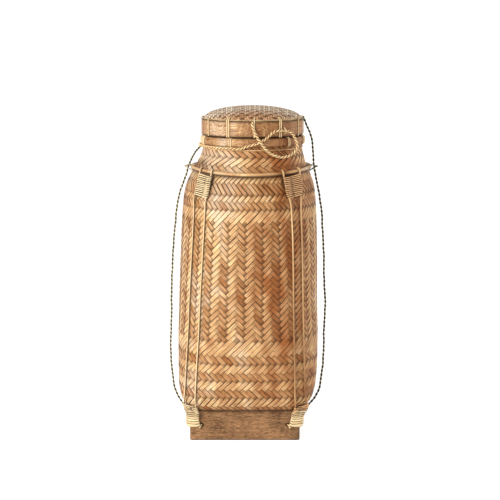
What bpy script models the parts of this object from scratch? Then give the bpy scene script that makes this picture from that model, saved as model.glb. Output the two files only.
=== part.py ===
"""Lidded storage basket of woven bamboo on a square wooden foot.

Metres, +Z up. The origin is on the floor under the centre of the whole basket.
The front is towards -Y. The basket leans a little to +X from foot to lid, as a handmade one does.
"""
import math

import bmesh
import bpy
import numpy as np
from mathutils import Vector

# Clearances
GAP = 0.0003                    # between pieces that touch
LID_CLEARANCE = 0.0006          # between the collar and the lid's inner band
WALL_PROBE = 0.0005             # up and down the wall, where its slope is taken

# Foot
FOOT_WIDTH = 0.1656
FOOT_HEIGHT = 0.0462
FOOT_X = -0.0048                # the foot's centre, left of the basket's own
FOOT_CORNER_RADIUS = 0.004
FOOT_EDGE_WEAR = 0.0008
CORNER_HOLE_RADIUS = 0.0034
CORNER_HOLE_FROM_CORNER = 0.0183
CORNER_HOLE_HEIGHT = 0.0245

# Woven body
BODY_HEIGHT = 0.4073
BELLY_RADIUS = 0.1077
BASE_OVERHANG = 0.0067          # how far the basket's bottom stands out past the foot
BODY_WALL = 0.003
BODY_FLOOR = 0.003
NECK_X = 0.0068                 # the neck's centre, right of the belly's
BASE_SQUARENESS = 6.0           # exponent of the section's superellipse: 2 is round

# Outline of the body: (share of the height, share of the way)
BASE_TO_BELLY = ((0.0, 0.0), (0.0085, 0.165), (0.021, 0.385), (0.033, 0.55), (0.05, 0.71),
                 (0.082, 0.865), (0.12, 0.94), (0.18, 0.99), (0.25, 1.0))
BELLY_TO_NECK = ((0.25, 1.0), (0.375, 0.967), (0.47, 0.945), (0.565, 0.915), (0.67, 0.87),
                 (0.76, 0.8), (0.795, 0.752), (0.83, 0.64), (0.868, 0.45), (0.908, 0.205),
                 (0.944, 0.06), (0.965, 0.0))
WALL_RINGS = (0.0, 0.0085, 0.021, 0.05, 0.1, 0.18, 0.28, 0.4, 0.52, 0.64, 0.73, 0.795, 0.83, 0.868,
              0.888, 0.908, 0.926, 0.944, 0.9545, 0.965, 1.0)
INNER_RINGS = (0.021, 0.05, 0.1, 0.28, 0.52, 0.73, 0.83, 0.888, 0.926, 0.965, 1.0)
SQUARENESS = ((0.0, 1.0), (0.03, 0.74), (0.1, 0.42), (0.18, 0.24), (0.28, 0.13), (0.375, 0.08),
              (0.565, 0.04), (0.76, 0.01), (0.85, 0.0))
LEAN = ((0.0, 0.16), (0.03, 0.24), (0.18, 0.40), (0.38, 0.43), (0.57, 0.53), (0.76, 0.61),
        (0.87, 0.77), (0.957, 1.0))

# Neck
COLLAR_RADIUS = 0.0708          # outside of the upright collar inside the mouth
COLLAR_WALL = 0.0018
COLLAR_DEPTH = 0.027            # below the wall's top
COLLAR_STANDOUT = 0.0205        # above the wall's top, inside the lid
HOOP_THICKNESS = 0.0046
HOOP_HEIGHT = 0.013
HOOP_ROUNDNESS = 2.6            # exponent of the section's superellipse
HOOP_ABOVE_WALL = 0.0006
BINDING_WIDTH = 0.002
BINDING_THICKNESS = 0.0012
BINDING_BELOW_HOOP = 0.0034
STITCH_THICKNESS = 0.0005
NECK_LASHING_WIDTH = 0.0044
NECK_LASHING_ANGLES = (-160, -113, -67, -25, 43, 84, 118, 156)  # from the front, to the right

# Shoulder ring, stays and their lashings
RING_ROD_RADIUS = 0.003
RING_BELOW_WALL_TOP = 0.0488
RING_DROOP = 0.0045             # front and back hang lower than the sides
STAY_RADIUS = 0.0015
STAY_BISECTOR = {               # degrees from the front to a pair's middle, left and right
    -1: ((0.0, 44.0), (0.04, 42.7), (0.1, 42.5), (0.16, 43.4), (0.305, 44.3), (0.415, 44.9), (0.65, 44.7),
         (0.745, 45.1), (0.78, 45.3), (0.81, 44.2), (0.83, 43.4), (0.87, 44.3)),
    1: ((0.0, 44.2), (0.04, 40.0), (0.1, 38.7), (0.16, 39.2), (0.31, 40.6), (0.42, 41.3), (0.65, 41.5),
        (0.745, 41.4), (0.78, 40.7), (0.82, 39.6), (0.87, 39.4))}
STAY_HALF_SPREAD = {            # degrees from there to each stay
    -1: ((0.0, 5.6), (0.04, 4.9), (0.1, 4.6), (0.16, 5.0), (0.305, 5.6), (0.45, 6.0), (0.7, 6.3), (0.78, 6.9),
         (0.87, 7.3)),
    1: ((0.0, 5.9), (0.04, 4.3), (0.1, 3.8), (0.16, 4.1), (0.31, 4.65), (0.5, 4.85), (0.7, 5.05), (0.745, 5.3),
        (0.78, 5.95), (0.82, 8.2), (0.87, 9.8))}
STAY_HOOK = 35.0                # degrees that the stay turns past the ring's top
STAY_FROM_CORNER_TOP = 0.0082
STAY_FROM_CORNER_END = 0.0146
STAY_END_HEIGHT = 0.0185
STAY_EASE = 0.02                # height in which a stay comes off the wall near a lashing
STAY_EASE_BELOW_LASHING = 0.022
STAY_EASE_ABOVE_FOOT = 0.0102
STAY_TAUT_BELOW_RING = 0.03     # the straight stretch under the ring
STAY_TURN_IN = 0.0105           # height in which a stay passes from the wall to the foot's face
STAY_SPAN = 0.003               # along a stay, where its direction is taken
STAY_SMOOTHING = 0.0045         # above and below a point that is averaged
STAY_DROPS = (0.012, 0.021, 0.03, 0.036, 0.042, 0.048, 0.056, 0.09, 0.14, 0.19, 0.24, 0.285)  # below the ring
STAY_RISES = (0.03, 0.016, 0.011, 0.0075, 0.004, 0.0005, -0.003, -0.0065, -0.01, -0.015)  # from the body's base
STAY_HOOK_STEPS = 5
LASHING_THICKNESS = 0.0009
FOOT_LASHING_TURNS = 7
FOOT_LASHING_WIDTH = 0.0028
FOOT_LASHING_BOTTOM = 0.0212
FOOT_LASHING_ABOVE_FOOT = 0.0034
FOOT_LASHING_TAIL = 0.005       # into the corner hole
TAIL_SWING = 0.0036             # out from the hole, where the tail turns in
TAIL_DEPTHS = (-0.0012, 0.0016, FOOT_LASHING_TAIL)
TOP_LASHING_TURNS = 8
TOP_LASHING_WIDTH = 0.0022
TOP_LASHING_BELOW_RING = 0.0072
TOP_LASHING_PITCH = 0.0036
WINDING_SLOTS = 10              # points on one turn of a winding
CORNER_BULGE = 0.0012           # more room for a winding round the basket's square bottom corner

# Eyelets on the ring
EYELET_ANGLE = 75.0             # from the front, to each side
EYELET_STRAND_RADIUS = 0.001
EYELET_REACH = 0.0135           # from the rod's centre to the loop's tip
EYELET_HALF_WIDTH = 0.0031
EYELET_LEG_SPREAD = 0.0017
EYELET_STEP = 0.0024            # between the sections of a strand

# Lid
LID_INNER_BAND_WALL = 0.0012
LID_INNER_BAND_HEIGHT = 0.016
LID_SKIN = 0.0016
LID_BAND_WALL = 0.0018
LID_BAND_HEIGHT = 0.023
LID_DOME_RISE = 0.0197
RIM_STRIP_RADIUS = 0.0011
RIM_STRIP_PROUD = 0.0003        # past the band's face
STITCH_WIDTH = 0.002
WIDE_STITCH_WIDTH = 0.0042
STITCH_COUNT = 12
STITCH_START = -28.0            # angle of the first stitch from the front
WIDE_STITCHES = (0, 2)
STITCH_ON_DOME = 0.0022         # from the skirt's edge in to the stitch's start
STITCH_TURN_UNDER = 0.0012      # from the band's face in to where a stitch is flat under it
STITCH_ROUNDING = 0.0003

# Cords
CARRY_CORD_DIAMETER = 0.0023
LIGHT_CORD_DIAMETER = 0.0037
CORD_STEP = 0.0072              # between the sections of a cord
NECK_CORD_RADIUS = 0.0802
NECK_CORD_HEIGHT = 0.4401
NECK_CORD_START = -190.0        # degrees from the front, to the right
NECK_CORD_LEAVES = -12.0
NECK_CORD_STEPS = 16
RIM_KNOT_ANGLE = 72.0
RIM_KNOT_RADIUS = 0.0022
LOOP_TIE_ANGLE = 36.5
LOOP_TIE_ABOVE_SEAT = 0.0088    # the tie's middle over the lid's underside
LOOP_TIE_HALF_LENGTH = 0.0048
LOOP_TIE_CORD_STANDOFF = 0.0035  # from the band to the cord's centre

# Routes that the cords lie along, as hung in use
CARRY_CORD_LEFT = (
    (-0.0718, 0.0095, 0.4368), (-0.0768, 0.0020, 0.4320), (-0.0817, -0.0100, 0.4250),
    (-0.0858, -0.0205, 0.4180), (-0.0886, -0.0253, 0.4125), (-0.0902, -0.0259, 0.4065),
    (-0.0924, -0.0275, 0.3985),
    (-0.0962, -0.0300, 0.3880), (-0.1013, -0.0330, 0.3719), (-0.1053, -0.0360, 0.3560),
    (-0.1090, -0.0400, 0.3282), (-0.1115, -0.0430, 0.2945), (-0.1144, -0.0460, 0.2515),
    (-0.1151, -0.0490, 0.2048), (-0.1164, -0.0520, 0.1625), (-0.1165, -0.0550, 0.1200),
    (-0.1140, -0.0580, 0.0925), (-0.1093, -0.0620, 0.0722), (-0.1034, -0.0650, 0.0606),
    (-0.0985, -0.0668, 0.0535))
CARRY_CORD_RIGHT = (
    (0.0986, -0.0252, 0.4087), (0.0998, -0.0258, 0.4040), (0.1019, -0.0268, 0.3945),
    (0.1042, -0.0280, 0.3829), (0.1077, -0.0320, 0.3604), (0.1106, -0.0350, 0.3398),
    (0.1127, -0.0390, 0.3063), (0.1145, -0.0440, 0.2512), (0.1162, -0.0480, 0.2047),
    (0.1150, -0.0520, 0.1630), (0.1140, -0.0550, 0.1300), (0.1121, -0.0580, 0.1005),
    (0.1074, -0.0620, 0.0740), (0.1000, -0.0650, 0.0608), (0.0935, -0.0668, 0.0535))
LID_TETHER_RIGHT = (
    (0.0824, -0.0227, 0.4833), (0.0849, -0.0212, 0.4772), (0.0880, -0.0195, 0.4700),
    (0.0919, -0.0182, 0.4620), (0.0948, -0.0185, 0.4530), (0.0966, -0.0198, 0.4400),
    (0.0977, -0.0225, 0.4250), (0.0985, -0.0248, 0.4110), (0.0986, -0.0251, 0.4095))
NECK_CORD_RISE = ((-0.0015, -0.0811, 0.4436), (0.0057, -0.0817, 0.4455), (0.0121, -0.0821, 0.4475))
LID_TETHER_FRONT = (
    (0.0127, -0.0821, 0.4477), (0.0220, -0.0813, 0.4518), (0.0288, -0.0790, 0.4569),
    (0.0350, -0.0757, 0.4622), (0.0398, -0.0732, 0.4655))
LID_LOOP = (
    (0.0409, -0.0726, 0.4657), (0.0443, -0.0707, 0.4658), (0.0488, -0.0680, 0.4655),
    (0.0542, -0.0643, 0.4651), (0.0609, -0.0608, 0.4634), (0.0676, -0.0578, 0.4570),
    (0.0711, -0.0569, 0.4494), (0.0727, -0.0573, 0.4423), (0.0693, -0.0613, 0.4350),
    (0.0598, -0.0674, 0.4288), (0.0479, -0.0735, 0.4274), (0.0328, -0.0809, 0.4338),
    (0.0212, -0.0867, 0.4455), (0.0132, -0.0857, 0.4573), (0.0090, -0.0832, 0.4656),
    (0.0065, -0.0803, 0.4742), (0.0058, -0.0792, 0.4786))

# Number of sides
ROUND_SIDES = 36
ROD_SIDES = 8
HOLE_SIDES = 12
RIM_STRIP_SIDES = 6

# Sizes that follow
BODY_BOTTOM = FOOT_HEIGHT + GAP
WALL_TOP = BODY_BOTTOM + BODY_HEIGHT
BASE_RADIUS = FOOT_WIDTH / 2 + BASE_OVERHANG
NECK_RADIUS = COLLAR_RADIUS + GAP + BODY_WALL
RING_HEIGHT = WALL_TOP - RING_BELOW_WALL_TOP
HOOP_TOP = WALL_TOP + HOOP_ABOVE_WALL
HOOP_BOTTOM = HOOP_TOP - HOOP_HEIGHT
HOOP_INNER_RADIUS = NECK_RADIUS + GAP
STITCH_STEP = GAP + STITCH_THICKNESS
LID_SEAT = HOOP_TOP + STITCH_STEP + STITCH_STEP + GAP    # underside of the lid's bands
LID_INNER_RADIUS = COLLAR_RADIUS + LID_CLEARANCE
SKIRT_INNER_RADIUS = LID_INNER_RADIUS + LID_INNER_BAND_WALL + GAP
SKIRT_RADIUS = SKIRT_INNER_RADIUS + LID_SKIN
BAND_INNER_RADIUS = SKIRT_RADIUS + GAP
BAND_RADIUS = BAND_INNER_RADIUS + LID_BAND_WALL
RIM_STRIP_CENTRE_RADIUS = BAND_RADIUS - RIM_STRIP_RADIUS + RIM_STRIP_PROUD
RIM_STRIP_LOCAL_HEIGHT = LID_BAND_HEIGHT + GAP + RIM_STRIP_RADIUS
STAY_STANDOFF = GAP + LASHING_THICKNESS + GAP + STAY_RADIUS + GAP

CORNERS = {"front_left": (-1, -1), "front_right": (1, -1), "back_left": (-1, 1), "back_right": (1, 1)}


def smooth_value(table, x):
    """Smooth curve through the table's points, without overshoot."""
    xs = [p[0] for p in table]
    ys = [p[1] for p in table]
    if x <= xs[0]:
        return ys[0]
    if x >= xs[-1]:
        return ys[-1]
    slopes = [(ys[i + 1] - ys[i]) / (xs[i + 1] - xs[i]) for i in range(len(xs) - 1)]
    tangents = [0.0] * len(xs)
    for i in range(1, len(xs) - 1):
        before, after = slopes[i - 1], slopes[i]
        if before * after > 0:
            tangents[i] = 2 * before * after / (before + after)
    i = max(k for k in range(len(xs) - 1) if xs[k] <= x)
    step = xs[i + 1] - xs[i]
    t = (x - xs[i]) / step
    rise = ys[i + 1] - ys[i]
    return (ys[i] + rise * t * t * (3 - 2 * t)
            + step * tangents[i] * t * (1 - t) ** 2 - step * tangents[i + 1] * t * t * (1 - t))


def smooth_step(t):
    t = min(1.0, max(0.0, t))
    return t * t * (3 - 2 * t)


def share_of_body(z):
    return (z - BODY_BOTTOM) / BODY_HEIGHT


def body_half_width(z):
    share = share_of_body(z)
    if share < BASE_TO_BELLY[-1][0]:
        return BASE_RADIUS + (BELLY_RADIUS - BASE_RADIUS) * smooth_value(BASE_TO_BELLY, share)
    return NECK_RADIUS + (BELLY_RADIUS - NECK_RADIUS) * smooth_value(BELLY_TO_NECK, share)


def body_squareness(z):
    return 2.0 + (BASE_SQUARENESS - 2.0) * smooth_value(SQUARENESS, share_of_body(z))


def body_centre_x(z):
    return FOOT_X + (NECK_X - FOOT_X) * smooth_value(LEAN, share_of_body(z))


def superellipse_radius(half_width, squareness, angle):
    s, c = abs(math.sin(angle)), abs(math.cos(angle))
    return half_width / (s ** squareness + c ** squareness) ** (1 / squareness)


def slope_factor(z):
    """Horizontal distance that one unit square to the sloping wall takes."""
    slope = (body_half_width(z + WALL_PROBE) - body_half_width(z - WALL_PROBE)) / (2 * WALL_PROBE)
    return math.sqrt(1 + slope * slope)


def on_body(angle, z, standoff=0.0):
    """Point outside the body's wall; the angle runs from the front to the right."""
    half_width = body_half_width(z) + standoff * slope_factor(z)
    radius = superellipse_radius(half_width, body_squareness(z), angle)
    return Vector((body_centre_x(z) + radius * math.sin(angle), -radius * math.cos(angle), z))


def clear_scene():
    for obj in list(bpy.data.objects):
        bpy.data.objects.remove(obj, do_unlink=True)


def make_material(name, colour, roughness, metallic=0.0):
    material = bpy.data.materials.new(name)
    material.use_nodes = True
    shader = material.node_tree.nodes["Principled BSDF"]
    shader.inputs["Base Color"].default_value = (*colour, 1.0)
    shader.inputs["Roughness"].default_value = roughness
    shader.inputs["Metallic"].default_value = metallic
    material.diffuse_color = (*colour, 1.0)
    return material


def add_object(name, data, colour, roughness):
    obj = bpy.data.objects.new(name, data)
    bpy.context.scene.collection.objects.link(obj)
    data.materials.append(make_material(name, colour, roughness))
    return obj


def mesh_object(name, points, faces, colour, roughness):
    mesh = bpy.data.meshes.new(name)
    mesh.from_pydata([tuple(p) for p in points], [], faces)
    work = bmesh.new()
    work.from_mesh(mesh)
    bmesh.ops.recalc_face_normals(work, faces=work.faces)
    work.to_mesh(mesh)
    work.free()
    mesh.shade_smooth()
    mesh.set_sharp_from_angle(angle=math.radians(40))
    return add_object(name, mesh, colour, roughness)


def bridge_rings(rings, closed_path):
    """Points and faces of a skin over rings of equal count, with flat ends if it is open."""
    count = len(rings[0])
    points = [p for ring in rings for p in ring]
    faces = []
    last = len(rings) if closed_path else len(rings) - 1
    for i in range(last):
        a = i * count
        b = ((i + 1) % len(rings)) * count
        for k in range(count):
            n = (k + 1) % count
            faces.append((a + k, a + n, b + n, b + k))
    if not closed_path:
        end = (len(rings) - 1) * count
        faces.append(tuple(range(count)))
        faces.append(tuple(end + k for k in range(count)))
    return points, faces


def turned_ring(name, section, colour, roughness, centre_x=0.0):
    """Ring with the given section of (radius, height) points, round a vertical axis."""
    rings = []
    for i in range(ROUND_SIDES):
        angle = 2 * math.pi * i / ROUND_SIDES
        rings.append([(centre_x + r * math.sin(angle), -r * math.cos(angle), z) for r, z in section])
    points, faces = bridge_rings(rings, True)
    return mesh_object(name, points, faces, colour, roughness)


def strip_rings(path, outward, half_width, half_thickness):
    """Flat four-sided sections along a path; outward is the strip's face direction."""
    rings = []
    for i, point in enumerate(path):
        before = path[max(i - 1, 0)]
        after = path[min(i + 1, len(path) - 1)]
        tangent = (after - before).normalized()
        side = tangent.cross(outward[i]).normalized()
        face = side.cross(tangent).normalized()
        shape = ((1, 1), (-1, 1), (-1, -1), (1, -1))
        rings.append([point + side * (u * half_width) + face * (v * half_thickness) for u, v in shape])
    return rings


def strip_object(name, path, outward, width, thickness, colour, roughness):
    rings = strip_rings(path, outward, width / 2, thickness / 2)
    points, faces = bridge_rings(rings, False)
    return mesh_object(name, points, faces, colour, roughness)


def tube_object(name, path, radius, resolution, colour, roughness):
    """Round rod or cord along a list of points."""
    curve = bpy.data.curves.new(name, "CURVE")
    curve.dimensions = "3D"
    curve.bevel_depth = radius
    curve.bevel_resolution = resolution
    curve.use_fill_caps = True
    spline = curve.splines.new("POLY")
    spline.points.add(len(path) - 1)
    for point, place in zip(spline.points, path):
        point.co = (*place, 1.0)
    spline.use_smooth = True
    return add_object(name, curve, colour, roughness)


def smooth_path(route, step):
    """Points about a step apart on a smooth curve through the route."""
    route = [Vector(p) for p in route]
    ends = [route[0] * 2 - route[1]] + route + [route[-1] * 2 - route[-2]]
    dense = []
    for i in range(1, len(ends) - 2):
        p0, p1, p2, p3 = ends[i - 1:i + 3]
        t01, t12, t23 = [max((b - a).length, 1e-9) ** 0.5 for a, b in ((p0, p1), (p1, p2), (p2, p3))]
        m1 = (p2 - p1) + t12 * ((p1 - p0) / t01 - (p2 - p0) / (t01 + t12))
        m2 = (p2 - p1) + t12 * ((p3 - p2) / t23 - (p3 - p1) / (t12 + t23))
        for k in range(24):
            t = k / 24
            dense.append(p1 * (2 * t ** 3 - 3 * t ** 2 + 1) + m1 * (t ** 3 - 2 * t ** 2 + t)
                         + p2 * (-2 * t ** 3 + 3 * t ** 2) + m2 * (t ** 3 - t ** 2))
    dense.append(route[-1])
    along = np.concatenate([[0.0], np.cumsum([(b - a).length for a, b in zip(dense, dense[1:])])])
    count = max(2, round(along[-1] / step)) + 1
    wanted = np.linspace(0.0, along[-1], count)
    columns = [np.interp(wanted, along, [p[k] for p in dense]) for k in range(3)]
    return [Vector(p) for p in zip(*columns)]


def path_length(path):
    return sum((b - a).length for a, b in zip(path, path[1:]))


def make_foot():
    half = FOOT_WIDTH / 2
    work = bmesh.new()
    bmesh.ops.create_cube(work, size=1.0)
    for vertex in work.verts:
        vertex.co = Vector((vertex.co.x * FOOT_WIDTH, vertex.co.y * FOOT_WIDTH,
                            (vertex.co.z + 0.5) * FOOT_HEIGHT))
    upright = [e for e in work.edges if abs(e.verts[0].co.z - e.verts[1].co.z) > FOOT_HEIGHT / 2]
    bmesh.ops.bevel(work, geom=upright, offset=FOOT_CORNER_RADIUS, segments=3, profile=0.5,
                    affect="EDGES")
    rim = [e for e in work.edges if abs(e.verts[0].co.z - e.verts[1].co.z) < FOOT_EDGE_WEAR / 2]
    bmesh.ops.bevel(work, geom=rim, offset=FOOT_EDGE_WEAR, segments=1, affect="EDGES")
    mesh = bpy.data.meshes.new("foot_block")
    work.to_mesh(mesh)
    work.free()
    foot = add_object("foot_block", mesh, (0.27, 0.17, 0.11), 0.7)
    foot.location.x = FOOT_X
    inset = half - CORNER_HOLE_FROM_CORNER / 2
    for corner, (sx, sy) in CORNERS.items():
        bore = bmesh.new()
        bmesh.ops.create_cone(bore, cap_ends=True, segments=HOLE_SIDES, radius1=CORNER_HOLE_RADIUS,
                              radius2=CORNER_HOLE_RADIUS, depth=CORNER_HOLE_FROM_CORNER * 2)
        bore_mesh = bpy.data.meshes.new("hole_" + corner)
        bore.to_mesh(bore_mesh)
        bore.free()
        cutter = bpy.data.objects.new("hole_" + corner, bore_mesh)
        bpy.context.scene.collection.objects.link(cutter)
        cutter.location = (FOOT_X + sx * inset, sy * inset, CORNER_HOLE_HEIGHT)
        cutter.rotation_euler = (math.pi / 2, 0.0, math.atan2(sx, sy))
        cutter.hide_render = True
        cutter.display_type = "WIRE"
        cut = foot.modifiers.new("cut_" + corner, "BOOLEAN")
        cut.object = cutter
        cut.operation = "DIFFERENCE"
        cut.solver = "EXACT"


def body_ring(z, inset):
    """Section of the wall at a height; inset is measured square to the wall."""
    ring = []
    for i in range(ROUND_SIDES):
        point = on_body(2 * math.pi * i / ROUND_SIDES, z, -inset)
        ring.append(tuple(point))
    return ring


def make_body():
    outside = [body_ring(BODY_BOTTOM + share * BODY_HEIGHT, 0.0) for share in WALL_RINGS]
    heights = [BODY_BOTTOM + share * BODY_HEIGHT for share in INNER_RINGS]
    floor_top = BODY_BOTTOM + BODY_FLOOR
    inner_heights = [floor_top] + [z for z in heights if z > floor_top + BODY_FLOOR]
    inside = [body_ring(z, BODY_WALL) for z in reversed(inner_heights)]
    points, faces = bridge_rings(outside + inside, False)
    mesh_object("body_shell", points, faces, (0.58, 0.33, 0.15), 0.55)


def make_neck():
    top = WALL_TOP + COLLAR_STANDOUT
    bottom = WALL_TOP - COLLAR_DEPTH
    inner = COLLAR_RADIUS - COLLAR_WALL
    collar = ((COLLAR_RADIUS, bottom), (COLLAR_RADIUS, top), (inner, top), (inner, bottom))
    turned_ring("neck_collar", collar, (0.55, 0.33, 0.17), 0.6, NECK_X)
    turned_ring("neck_hoop", hoop_section(0.0), (0.50, 0.28, 0.14), 0.45, NECK_X)
    low = HOOP_BOTTOM - BINDING_BELOW_HOOP - BINDING_WIDTH
    high = low + BINDING_WIDTH
    inner = max((on_body(angle, z, GAP) - Vector((NECK_X, 0.0, z))).length
                for z in (low, high) for angle in (0.0, math.pi / 2, -math.pi / 2))
    inner += GAP
    outer = inner + BINDING_THICKNESS
    binding = ((outer, low), (outer, high), (inner, high), (inner, low))
    turned_ring("neck_binding_strip", binding, (0.66, 0.44, 0.24), 0.5, NECK_X)
    for number, angle in enumerate(NECK_LASHING_ANGLES, start=1):
        step = GAP + STITCH_THICKNESS / 2
        profile = [(HOOP_INNER_RADIUS, HOOP_TOP + step)] + hoop_bulge(step)
        profile.append((HOOP_INNER_RADIUS + step, HOOP_BOTTOM - step))
        hook_strip("neck_lashing_%d" % number, profile, angle, NECK_LASHING_WIDTH, NECK_X,
                   (0.72, 0.50, 0.28))


def hoop_bulge(standoff):
    """Outer half of the hoop's section, from the top to the bottom."""
    half = HOOP_HEIGHT / 2 + standoff
    middle = (HOOP_TOP + HOOP_BOTTOM) / 2
    reach = HOOP_THICKNESS + standoff
    points = []
    for share in (0.97, 0.75, 0.3, -0.3, -0.75, -0.97):
        bulge = (1 - abs(share) ** HOOP_ROUNDNESS) ** (1 / HOOP_ROUNDNESS)
        points.append((HOOP_INNER_RADIUS + reach * bulge, middle + half * share))
    return points


def hoop_section(standoff):
    return [(HOOP_INNER_RADIUS, HOOP_TOP)] + hoop_bulge(standoff) + [(HOOP_INNER_RADIUS, HOOP_BOTTOM)]


def hook_strip(name, profile, angle, width, centre_x, colour, parent=None):
    """Flat cane bent along a profile of (radius, height) points at one angle round an axis."""
    turn = math.radians(angle)
    radial = Vector((math.sin(turn), -math.cos(turn), 0.0))
    path = [radial * r + Vector((centre_x, 0.0, z)) for r, z in profile]
    outward = []
    for i in range(len(path)):
        tangent = path[min(i + 1, len(path) - 1)] - path[max(i - 1, 0)]
        across = Vector((math.cos(turn), math.sin(turn), 0.0))
        outward.append(tangent.cross(across))
    obj = strip_object(name, path, outward, width, STITCH_THICKNESS, colour, 0.5)
    obj.parent = parent
    return obj


def ring_centre(angle):
    """Centreline of the shoulder ring; the angle runs from the front to the right."""
    z = RING_HEIGHT - RING_DROOP / 2 * math.cos(2 * angle)
    return on_body(angle, z, RING_ROD_RADIUS + GAP)


def make_shoulder_ring():
    rings = []
    for i in range(ROUND_SIDES):
        angle = 2 * math.pi * i / ROUND_SIDES
        centre = ring_centre(angle)
        radial = Vector((math.sin(angle), -math.cos(angle), 0.0))
        ring = []
        for k in range(ROD_SIDES):
            turn = 2 * math.pi * (k + 0.5) / ROD_SIDES
            offset = radial * math.cos(turn) + Vector((0.0, 0.0, math.sin(turn)))
            ring.append(tuple(centre + offset * RING_ROD_RADIUS))
        rings.append(ring)
    points, faces = bridge_rings(rings, True)
    mesh_object("shoulder_ring", points, faces, (0.68, 0.46, 0.25), 0.4)


def stay_angle(z, sx, sy, side):
    """Angle from the front; side is -1 for the stay nearer the front or back face, else 1."""
    share = share_of_body(z)
    degrees = smooth_value(STAY_BISECTOR[sx], share) + side * smooth_value(STAY_HALF_SPREAD[sx], share)
    if sy > 0:
        degrees = 180 - degrees
    return sx * math.radians(degrees)


def stay_on_foot(z, sx, sy, side):
    half = FOOT_WIDTH / 2
    share = (FOOT_HEIGHT - z) / (FOOT_HEIGHT - STAY_END_HEIGHT)
    from_corner = STAY_FROM_CORNER_TOP + (STAY_FROM_CORNER_END - STAY_FROM_CORNER_TOP) * share
    along, out = half - from_corner, half + STAY_STANDOFF
    if side < 0:
        return Vector((FOOT_X + sx * along, sy * out, z))
    return Vector((FOOT_X + sx * out, sy * along, z))


def stay_point(z, sx, sy, side):
    """Centre of a stay at a height, between the foot's underside and the ring."""
    level = max(z, BODY_BOTTOM)
    lashing_top = RING_HEIGHT - TOP_LASHING_BELOW_RING
    lashing_bottom = lashing_top - TOP_LASHING_TURNS * TOP_LASHING_PITCH
    near_foot = 1 - smooth_step((level - FOOT_HEIGHT - STAY_EASE_ABOVE_FOOT) / STAY_EASE)
    near_ring = smooth_step((level - lashing_bottom + STAY_EASE_BELOW_LASHING) / STAY_EASE)
    free = STAY_RADIUS + GAP
    standoff = free + (STAY_STANDOFF - free) * max(near_foot, near_ring) + GAP * near_foot
    on_wall = on_body(stay_angle(level, sx, sy, side), level, standoff)
    on_wall.z = z
    taut_bottom = RING_HEIGHT - STAY_TAUT_BELOW_RING
    if level >= taut_bottom:
        outside = ring_outside(stay_angle(RING_HEIGHT, sx, sy, side))
        rise = (level - taut_bottom) / (outside.z - taut_bottom)
        start = on_body(stay_angle(taut_bottom, sx, sy, side), taut_bottom, standoff)
        taut = start.lerp(outside, rise)
        taut.z = z
        centre = Vector((body_centre_x(level), 0.0, z))
        return max(on_wall, taut, key=lambda p: (p - centre).length)
    if z >= BODY_BOTTOM:
        return on_wall
    on_foot = stay_on_foot(z, sx, sy, side)
    return on_foot.lerp(on_wall, smooth_step((z - BODY_BOTTOM + STAY_TURN_IN) / STAY_TURN_IN))


def ring_outside(angle):
    """Where a stay passes outside the shoulder ring."""
    radial = Vector((math.sin(angle), -math.cos(angle), 0.0))
    return ring_centre(angle) + radial * (RING_ROD_RADIUS + GAP + STAY_RADIUS)


def stay_route(sx, sy, side):
    angle = stay_angle(RING_HEIGHT, sx, sy, side)
    centre = ring_centre(angle)
    radial = Vector((math.sin(angle), -math.cos(angle), 0.0))
    hook = RING_ROD_RADIUS + GAP + STAY_RADIUS
    route = []
    for i in range(STAY_HOOK_STEPS + 1):
        turn = math.radians(-STAY_HOOK + (90 + STAY_HOOK) * i / STAY_HOOK_STEPS)
        route.append(centre + radial * hook * math.sin(turn) + Vector((0, 0, hook * math.cos(turn))))
    route += [stay_point(RING_HEIGHT - drop, sx, sy, side) for drop in STAY_DROPS]
    for rise in STAY_RISES:
        near = [stay_point(BODY_BOTTOM + rise + step, sx, sy, side)
                for step in (-STAY_SMOOTHING, 0.0, STAY_SMOOTHING)]
        route.append((near[0] + near[1] + near[2]) / 3)
    route.append(stay_point(STAY_END_HEIGHT, sx, sy, side))
    return route


def make_stays():
    """Makes the stays and gives each corner's two routes, for the windings round them."""
    routes = {}
    for corner, (sx, sy) in CORNERS.items():
        routes[corner] = []
        for letter, side in (("a", -1), ("b", 1)):
            route = stay_route(sx, sy, side)
            routes[corner].append(route)
            tube_object("stay_%s_%s" % (corner, letter), route, STAY_RADIUS, 1, (0.74, 0.52, 0.30), 0.45)
    return routes


def route_at(route, z):
    """The place on a descending route at a height."""
    for before, after in zip(route, route[1:]):
        if before.z >= z > after.z:
            return before.lerp(after, (before.z - z) / (before.z - after.z))
    return route[-1]


def stay_frame(routes, index, z, sx, sy, at_foot):
    """A stay's centre with the directions square to it: off the wall, and away from the other stay."""
    route, other = routes[index], routes[1 - index]
    centre = route_at(route, z)
    if at_foot:
        outward = Vector((sx, 0.0, 0.0)) if index else Vector((0.0, sy, 0.0))
    else:
        outward = Vector((centre.x - body_centre_x(z), centre.y, 0.0)).normalized()
    below, above = max(z - STAY_SPAN, STAY_END_HEIGHT), z + STAY_SPAN
    tangent = (route_at(route, below) - route_at(route, above)).normalized()
    outward = (outward - tangent * outward.dot(tangent)).normalized()
    away = tangent.cross(outward)
    if away.dot(centre - route_at(other, z)) < 0:
        away = -away
    return centre, outward, away


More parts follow.
